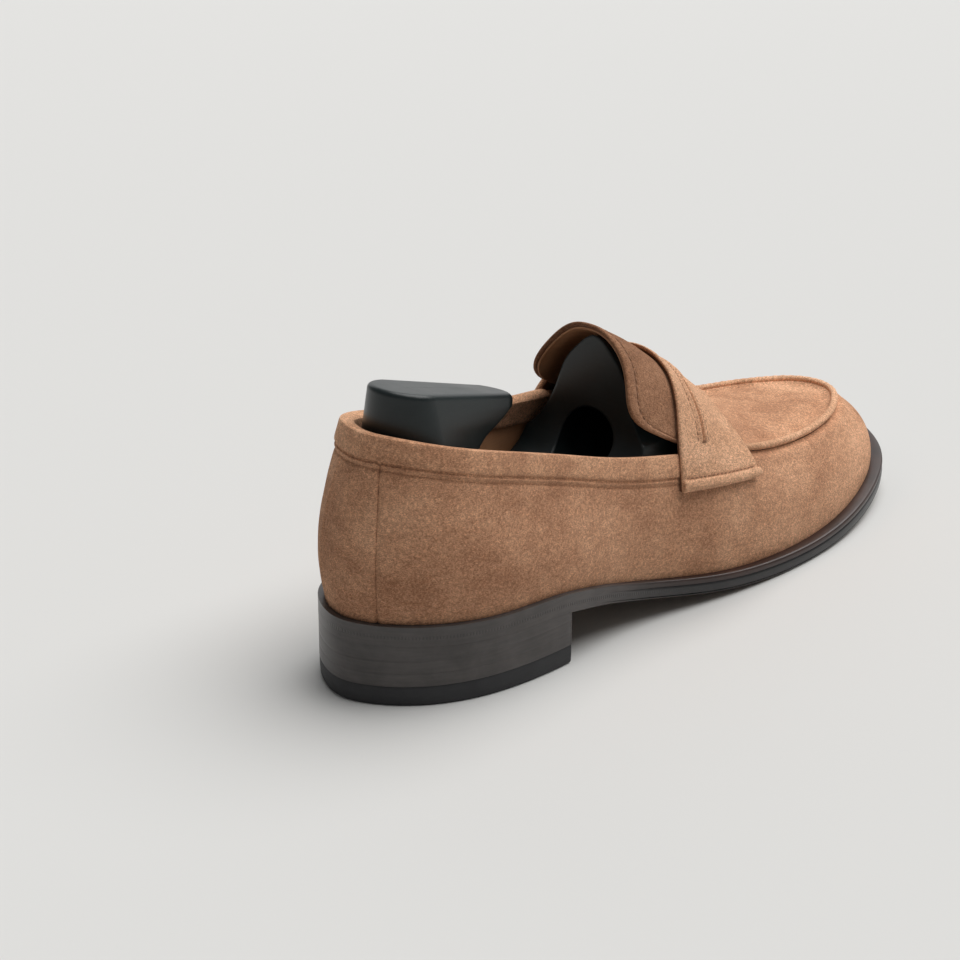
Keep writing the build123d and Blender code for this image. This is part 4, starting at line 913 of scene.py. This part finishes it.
def strap_grid(offset, columns=241, detail=True):
    """The strap's surface; detail sinks the penny slot and the end seams and rolls the edges."""
    ends = np.linspace(0, 0.06, 16)
    a = np.concatenate([ends, np.linspace(0.06, 0.94, columns)[1:-1], 1 - ends[::-1]])
    p = np.concatenate([REAR_ROWS, 0.5 - NEAR_SLOT[::-1], (0.5 + NEAR_SLOT)[1:], FRONT_ROWS])
    x = strap_place(a[None, :], p[:, None])
    across = np.broadcast_to(a, x.shape)
    extra = np.zeros_like(x)
    if detail:
        y = on_contour(x, across, 0.0)[..., 1]
        gap = x - slot_x(y)
        fade = np.clip((SLOT_REACH - np.abs(a[None, :] - 0.5)) / 0.012, 0, 1)
        extra += fade * (0.75 * ridge(np.abs(gap), 1.5, 0.8) - 1.9 * np.exp(-((gap / 0.5) ** 4)))
        extra -= fade * 0.3 * ridge(np.abs(gap), 3.0, 0.6)
        for edge_gap in (x - rear_x(y), front_x(y) - x):
            extra += 0.25 * ridge(edge_gap, 0.9, 0.9)
        end_gap = np.minimum(a, 1 - a)[None, :] * STRAP_LENGTH
        extra -= 0.35 * ridge(end_gap, 4.0, 0.5)
        extra += 0.18 * rumple(on_contour(x, across, offset), 14.0, 8.8)
    return on_contour(x, across, offset + extra)


outer, inner = strap_grid(STRAP_TOP), strap_grid(STRAP_FACE, detail=False)
shell("saddle_strap_suede", outer, inner, SUEDE_STRAP_PAINTED_LIGHT, ["saddle_strap"])
outer, inner = strap_grid(1.1, 81, False), strap_grid(0.3, 81, False)
shell("strap_backing_cloth", outer, inner, SUEDE_SLOT_PAINTED_SHADE, ["strap_backing"])


def strap_line(a_values, gap_from, distance, offset):
    """A path on the strap at a distance from its rear edge, slot or front edge."""
    x = np.full(len(a_values), 8.0)
    for _ in range(30):
        y = on_contour(x, a_values, 0.0)[..., 1]
        x = 0.5 * x + 0.5 * (gap_from(y) + distance)
    return on_contour(x, a_values, np.full(len(a_values), offset))


inner_a = np.linspace(0.5 - SLOT_REACH, 0.5 + SLOT_REACH, 200)
strap_rows = [strap_line(inner_a, slot_x, distance, STRAP_TOP - 0.08) for distance in (-3.0, 3.0)]
stitches("strap_stitches", strap_rows, pitch=2.2, length=1.5, radius=0.16)
tacks = []
for a_end, step_out in ((0.5 - SLOT_REACH - 0.004, 0.012), (0.5 + SLOT_REACH + 0.004, -0.012)):
    for distance in (-0.9, -0.45, 0.0, 0.45, 0.9):
        spots = np.array([a_end, a_end + step_out])
        tacks.append(strap_line(spots, slot_x, distance, STRAP_TOP + 0.1))
stitches("slot_end_tacks", tacks, pitch=0.7, length=1.6, radius=0.18)


def bar_grid(side, offset, crown):
    """The folded bar across one lower end of the strap."""
    a = np.linspace(-0.001, 0.027, 15) if side == LATERAL else np.linspace(1.001, 0.973, 15)
    p = np.concatenate([[-0.012, 0.01, 0.04], np.linspace(0.09, 0.91, 40), [0.96, 0.99, 1.012]])
    x = strap_place(a[None, :], p[:, None])
    share = np.linspace(0, 1, len(a))
    bulge = crown * np.sin(math.pi * np.clip(share, 0.02, 0.98)) ** 0.5
    points = on_contour(x, np.broadcast_to(a, x.shape), offset + bulge[None, :] + 0 * x)
    if crown:
        points[..., 2] += 0.12 * rumple(points, 6.0, 3.3)
    return points


for side, word in ((LATERAL, "lateral"), (MEDIAL, "medial")):
    outer, inner = bar_grid(side, STRAP_TOP + 0.5, 0.7), bar_grid(side, STRAP_TOP + 0.03, 0.0)
    shell(f"{word}_bar_suede", outer, inner, SUEDE_STRAP_PAINTED_LIGHT, [f"{word}_strap_bar"], sharp=80)
bar_rows = []
for a in (0.034, 0.966):
    x = strap_place(np.full(60, a), np.linspace(0.03, 0.97, 60))
    bar_rows.append(on_contour(x, np.full(60, a), np.full(60, STRAP_TOP - 0.12)))
stitches("bar_stitches", bar_rows, pitch=2.2, length=1.5, radius=0.17)

ts = np.linspace(-0.9, 0.9, 160)
start = np.array([tongue_edge_x(t, 0.0) for t in ts])
tongue_row = arch_points(start + TONGUE_STITCH_INSET, ts, 0.0)
stitches("tongue_stitches", [tongue_row], pitch=2.8, length=2.0, radius=0.2)

# ---------------- sole, welt and heel
HEEL_BREAST_X = -77.0
EDGE_MARGIN = 0.12  # the sole's layers stay this far inside the CAD outline
LIFT_MARGIN = 0.15


def slab(name, low, high, profile, material, cad_node, heel=False, rows=320, below=None):
    """A layer of the sole or heel; profile is (share of height, outset) from bottom to top.

    A heel layer ends at the breast. The others lose their outset under the heel.
    """
    limit, margin = {side: 1.0 for side in SIDES}, EDGE_MARGIN
    if heel:
        limit = {side: np.interp(HEEL_BREAST_X, OUTLINE[side][:, 0], FRACTIONS) for side in SIDES}
        margin = LIFT_MARGIN
    u = 0.5 - 0.5 * np.cos(np.linspace(0, math.pi / 2 if heel else math.pi, rows))
    u = u / u[-1]
    edge, inward = {}, {}
    for side in SIDES:
        s = u * limit[side]
        inward[side] = unit(at(INWARDS_PLAIN[side], s))
        edge[side] = at(OUTLINE[side], s) + inward[side] * margin

    def place(side, share, outset):
        ahead = 1.0 if heel else np.clip((edge[side][:, :1] + 72) / 40, 0, 1)
        plan = edge[side] - inward[side] * outset * ahead
        if heel:
            plan[-1, 0] = HEEL_BREAST_X
        z = low(plan[:, 0]) + (high(plan[:, 0]) - low(plan[:, 0])) * share
        return np.column_stack([plan, z])

    rings = [place(LATERAL, share, outset) for share, outset in profile]
    across = np.linspace(0, 1, 22)[1:-1]
    top = [place(LATERAL, 1, profile[-1][1]), place(MEDIAL, 1, profile[-1][1])]
    bottom = [place(LATERAL, 0, profile[0][1]), place(MEDIAL, 0, profile[0][1])]
    for share in across:
        row = top[0] * (1 - share) + top[1] * share
        row[:, 2] = high(row[:, 0])
        rings.append(row)
    rings += [place(MEDIAL, share, outset) for share, outset in profile[::-1]]
    for share in across[::-1]:
        row = bottom[0] * (1 - share) + bottom[1] * share
        row[:, 2] = low(row[:, 0])
        rings.append(row)
    obj = tube(name, np.stack(rings, 1), material, [cad_node], sharp=50)
    # U is the way along the edge in millimetres, V the share of the layer's height
    columns, levels = len(rings), [share for share, _ in profile]
    lateral_run = run_along(edge[LATERAL])
    v = levels + [1.0] * len(across) + levels[::-1] + [0.0] * len(across)
    layer = obj.data.uv_layers.new(name="UVMap")
    spots = np.empty(len(obj.data.loops), np.int32)
    obj.data.loops.foreach_get("vertex_index", spots)
    coordinates = np.stack([lateral_run[spots // columns], np.array(v)[spots % columns]], 1)
    layer.data.foreach_set("uv", coordinates.astype(np.float32).ravel())
    if below is not None:
        obj.data.materials.append(below)
        for polygon in obj.data.polygons:
            polygon.material_index = 1 if polygon.normal.z < -0.85 else 0
    return obj


RUBBER_TOP, LIFT_1_TOP, LIFT_2_TOP = 7.2, 11.8, 16.4
INWARDS_PLAIN = {side: inwards(side) for side in SIDES}
for side in SIDES:
    INWARDS_PLAIN[side][0] = (1, 0)
    INWARDS_PLAIN[side][-1] = (-1, 0)

SOLE_PROFILE = [
    (0, -1.6), (0.03, -0.9), (0.09, -0.35), (0.17, -0.12), (0.22, -0.5), (0.27, -0.12), (0.4, 0.02),
    (0.6, 0.05), (0.8, -0.02), (0.93, -0.15), (1.0, -0.4),
]
WELT_PROFILE = [(0, -0.35), (0.15, -0.12), (0.5, 0.0), (0.8, -0.12), (0.93, -0.4), (1.0, -0.9)]
LIFT_PROFILE = [(0, -0.045), (0.02, -0.01), (0.3, 0.0), (0.7, 0.0), (0.98, -0.01), (1.0, -0.045)]
RUBBER_PROFILE = [(0, -1.1), (0.05, -0.6), (0.14, -0.3), (0.5, -0.12), (0.95, -0.1), (1.0, -0.35)]


def level(height):
    return lambda x: height + 0 * x


slab("outsole_leather", sole_underside, sole_top, SOLE_PROFILE, SOLE_EDGE, "outsole",
     rows=420, below=SOLE_BOTTOM)
slab("welt_leather", sole_top, welt_top, WELT_PROFILE, WELT, "welt")
slab("top_lift_rubber", level(0.0), level(RUBBER_TOP), RUBBER_PROFILE, RUBBER, "rubber_top_lift",
     heel=True, rows=120)
for name, low, high, cad_node in (
    ("heel_lift_1", level(RUBBER_TOP), level(LIFT_1_TOP), "heel_lift_lower"),
    ("heel_lift_2", level(LIFT_1_TOP), level(LIFT_2_TOP), "heel_lift_upper"),
    ("heel_lift_3", level(LIFT_2_TOP), sole_underside, "heel_seat_lift"),
):
    slab(name, low, high, LIFT_PROFILE, HEEL_EDGE, cad_node, heel=True, rows=120)

# ---------------- heel block of the tree
HEEL_BLOCK_FOOT, HEEL_BLOCK_Y, CROWN_FILLET = 33.4, -1.8, 2.0
NOSE_LEVEL = 84.0  # the block's outline changes evenly above this height
BACK_FACING = 0.142  # directions with a smaller forward share belong to the back circle
CROWN_LINE = (-116, -76)  # the crown's middle line runs between these x
block_levels = np.append(np.linspace(HEEL_BLOCK_FOOT, NOSE_LEVEL, 80), 110.0)


def by_height(heights, values):
    """A curve over the heights of the heel block, with its last stretch straight."""
    table = through(heights, values)(block_levels)
    return lambda z: np.interp(z, block_levels, table)


# the hull's two end circles: where the block starts and ends, and their radii
block_back = by_height([33, 62, 84, 110], [-129, -130.2, -130.6, -127.6])
block_back_radius = by_height([33, 62, 84, 110], [17, 16.6, 15.6, 10.6])
block_front = by_height([33, 62, 72.5, 77.5, 81, 84, 110], [-82, -85.5, -85.5, -80.2, -72.2, -66.9, -66.6])
block_front_radius = by_height([33, 62, 72.5, 81, 84, 110], [12, 11, 10, 8.4, 7.8, 7.4])
crown_height = through([-140, -118, -92, -66], [106.5, 101.8, 95, 86.8])
PIVOT_X, PIVOT_Z, HINGE_Y, EAR_RADIUS, BORE_RADIUS = -66.0, 41.0, -2.0, 9.0, 2.55
LUG_ROOT_X, LUG_HALF_WIDTH, LUG_CHAMFER = -87.0, 5.0, 0.5


def block_outline(z, facing):
    """Plan points of the hull of the block's two end circles, by the direction each one faces."""
    back_r, front_r = block_back_radius(z), block_front_radius(z)
    back_x, nose_x = block_back(z) + back_r, block_front(z) - front_r
    cosine, sine = np.cos(facing), np.sin(facing)
    back = cosine < BACK_FACING
    centre, radius = np.where(back, back_x, nose_x), np.where(back, back_r, front_r)
    return np.stack([centre + radius * cosine, HEEL_BLOCK_Y + radius * sine], -1)


facing = np.linspace(0, 2 * math.pi, 120, endpoint=False) + 0.013
shoulder = np.full(len(facing), 95.0)
for _ in range(8):  # the shoulder's height and its place depend on each other
    shoulder = crown_height(block_outline(np.maximum(shoulder, NOSE_LEVEL), facing)[:, 0]) - CROWN_FILLET
rings = []
for share in np.linspace(0, 1, 70):
    z = HEEL_BLOCK_FOOT + (shoulder - HEEL_BLOCK_FOOT) * share
    rings.append(np.column_stack([block_outline(z, facing), z]))
inward_xy = -np.stack([np.cos(facing), np.sin(facing)], 1)
edge_ring = rings[-1]
for turn in np.linspace(0, math.pi / 2, 8)[1:]:
    ring = edge_ring.copy()
    ring[:, :2] += inward_xy * CROWN_FILLET * (1 - math.cos(turn))
    flat = crown_height(ring[:, 0])
    ring[:, 2] = shoulder + (flat - shoulder) * math.sin(turn)
    rings.append(ring)
last_ring = rings[-1]
middle_line = np.column_stack([np.clip(last_ring[:, 0], *CROWN_LINE), np.full(len(facing), HEEL_BLOCK_Y)])
for share in (0.2, 0.45, 0.7, 0.9, 0.99):
    ring = last_ring.copy()
    ring[:, :2] = last_ring[:, :2] * (1 - share) + middle_line * share
    ring[:, 2] = crown_height(ring[:, 0])
    rings.append(ring)
tube("heel_block_body", np.stack(rings), PAINT, ["tree_heel_block"], "tree_heel", sharp=60)

lug_facing = np.linspace(0, 2 * math.pi, 64, endpoint=False)
centre_x = np.where(np.cos(lug_facing) > 0, PIVOT_X, LUG_ROOT_X)
outer = np.stack([centre_x + EAR_RADIUS * np.cos(lug_facing), PIVOT_Z + EAR_RADIUS * np.sin(lug_facing)], 1)
bore = np.stack([PIVOT_X + BORE_RADIUS * np.cos(lug_facing), PIVOT_Z + BORE_RADIUS * np.sin(lug_facing)], 1)
trimmed = outer + unit(bore - outer) * LUG_CHAMFER
lug = []
for ring, y in (
    (trimmed, -LUG_HALF_WIDTH), (outer, LUG_CHAMFER - LUG_HALF_WIDTH), (outer, LUG_HALF_WIDTH - LUG_CHAMFER),
    (trimmed, LUG_HALF_WIDTH), (bore, LUG_HALF_WIDTH), (bore, -LUG_HALF_WIDTH),
):
    lug.append(np.column_stack([ring[:, 0], np.full(len(ring), HINGE_Y + y), ring[:, 1]]))
tube("heel_block_lug", np.stack(lug, 1), PAINT, ["tree_heel_block"], "tree_heel", closed=True)

# ---------------- CAD nodes that stay as they are
NODE_LOOKS = {"sock_liner": LINING, "tree_forepart": PAINT}
for name in ("shank", "heel_nails", "top_lift_brads", "tree_hinge_pin"):
    NODE_LOOKS[name] = STEEL
HIDDEN_LEATHER = "cork_filler insole heel_stiffener lateral_stay medial_stay vamp_doublers toe_puff"
for name in HIDDEN_LEATHER.split():
    NODE_LOOKS[name] = INSOLE
for name, material in NODE_LOOKS.items():
    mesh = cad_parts[name].data
    mesh.materials.clear()
    mesh.materials.append(material)

# ---------------- floor, light and camera
FLOOR_HALF = 6.0  # metres
mesh = bpy.data.meshes.new("floor")
corners = [(x * FLOOR_HALF, y * FLOOR_HALF, 0) for x, y in ((-1, -1), (1, -1), (1, 1), (-1, 1))]
mesh.from_pydata(corners, [], [(0, 1, 2, 3)])
floor = bpy.data.objects.new("floor", mesh)
bpy.context.scene.collection.objects.link(floor)
floor_material, tree, shader = new_material("floor")
fill(shader, Base_Color=(0.665, 0.665, 0.655, 1), Roughness=0.85, Specular_IOR_Level=0.1)
mesh.materials.append(floor_material)


def put(name, data, place, looking):
    """A light or camera at a place, turned to look along a direction."""
    obj = bpy.data.objects.new(name, data)
    obj.location = place
    obj.rotation_euler = Vector(looking).to_track_quat("-Z", "Y").to_euler()
    bpy.context.scene.collection.objects.link(obj)
    return obj


sun = bpy.data.lights.new("soft_overhead", "SUN")
sun.energy, sun.angle, sun.color = 3.18, math.radians(62), (1.0, 0.992, 0.98)
put("soft_overhead", sun, (0, 0, 0), (-0.42, 0.10, -0.88))
card = bpy.data.lights.new("backdrop_card", "AREA")
card.shape, card.size, card.size_y, card.energy = "RECTANGLE", 4.5, 1.9, 20.0
CARD_PLACE = Vector((2.3, 2.1, 1.15))
put("backdrop_card", card, CARD_PLACE, Vector((0, 0, 0.1)) - CARD_PLACE)

world = bpy.data.worlds.new("studio")
world.use_nodes = True
fill(world.node_tree.nodes["Background"], Color=(1, 1, 1, 1), Strength=0.16)
bpy.context.scene.world = world
bpy.context.scene.view_settings.view_transform = "Standard"

CAMERA_PLACE = (-0.7262, -0.5941, 0.4119)
CAMERA_YAW, CAMERA_PITCH = 0.741579, math.radians(22.0)
camera_data = bpy.data.cameras.new("camera")
camera_data.lens = 103.4
camera_data.sensor_width = 36.0
camera_data.clip_end = 50
ahead = math.cos(CAMERA_PITCH)
looking = (ahead * math.cos(CAMERA_YAW), ahead * math.sin(CAMERA_YAW), -math.sin(CAMERA_PITCH))
bpy.context.scene.camera = put("camera", camera_data, CAMERA_PLACE, looking)
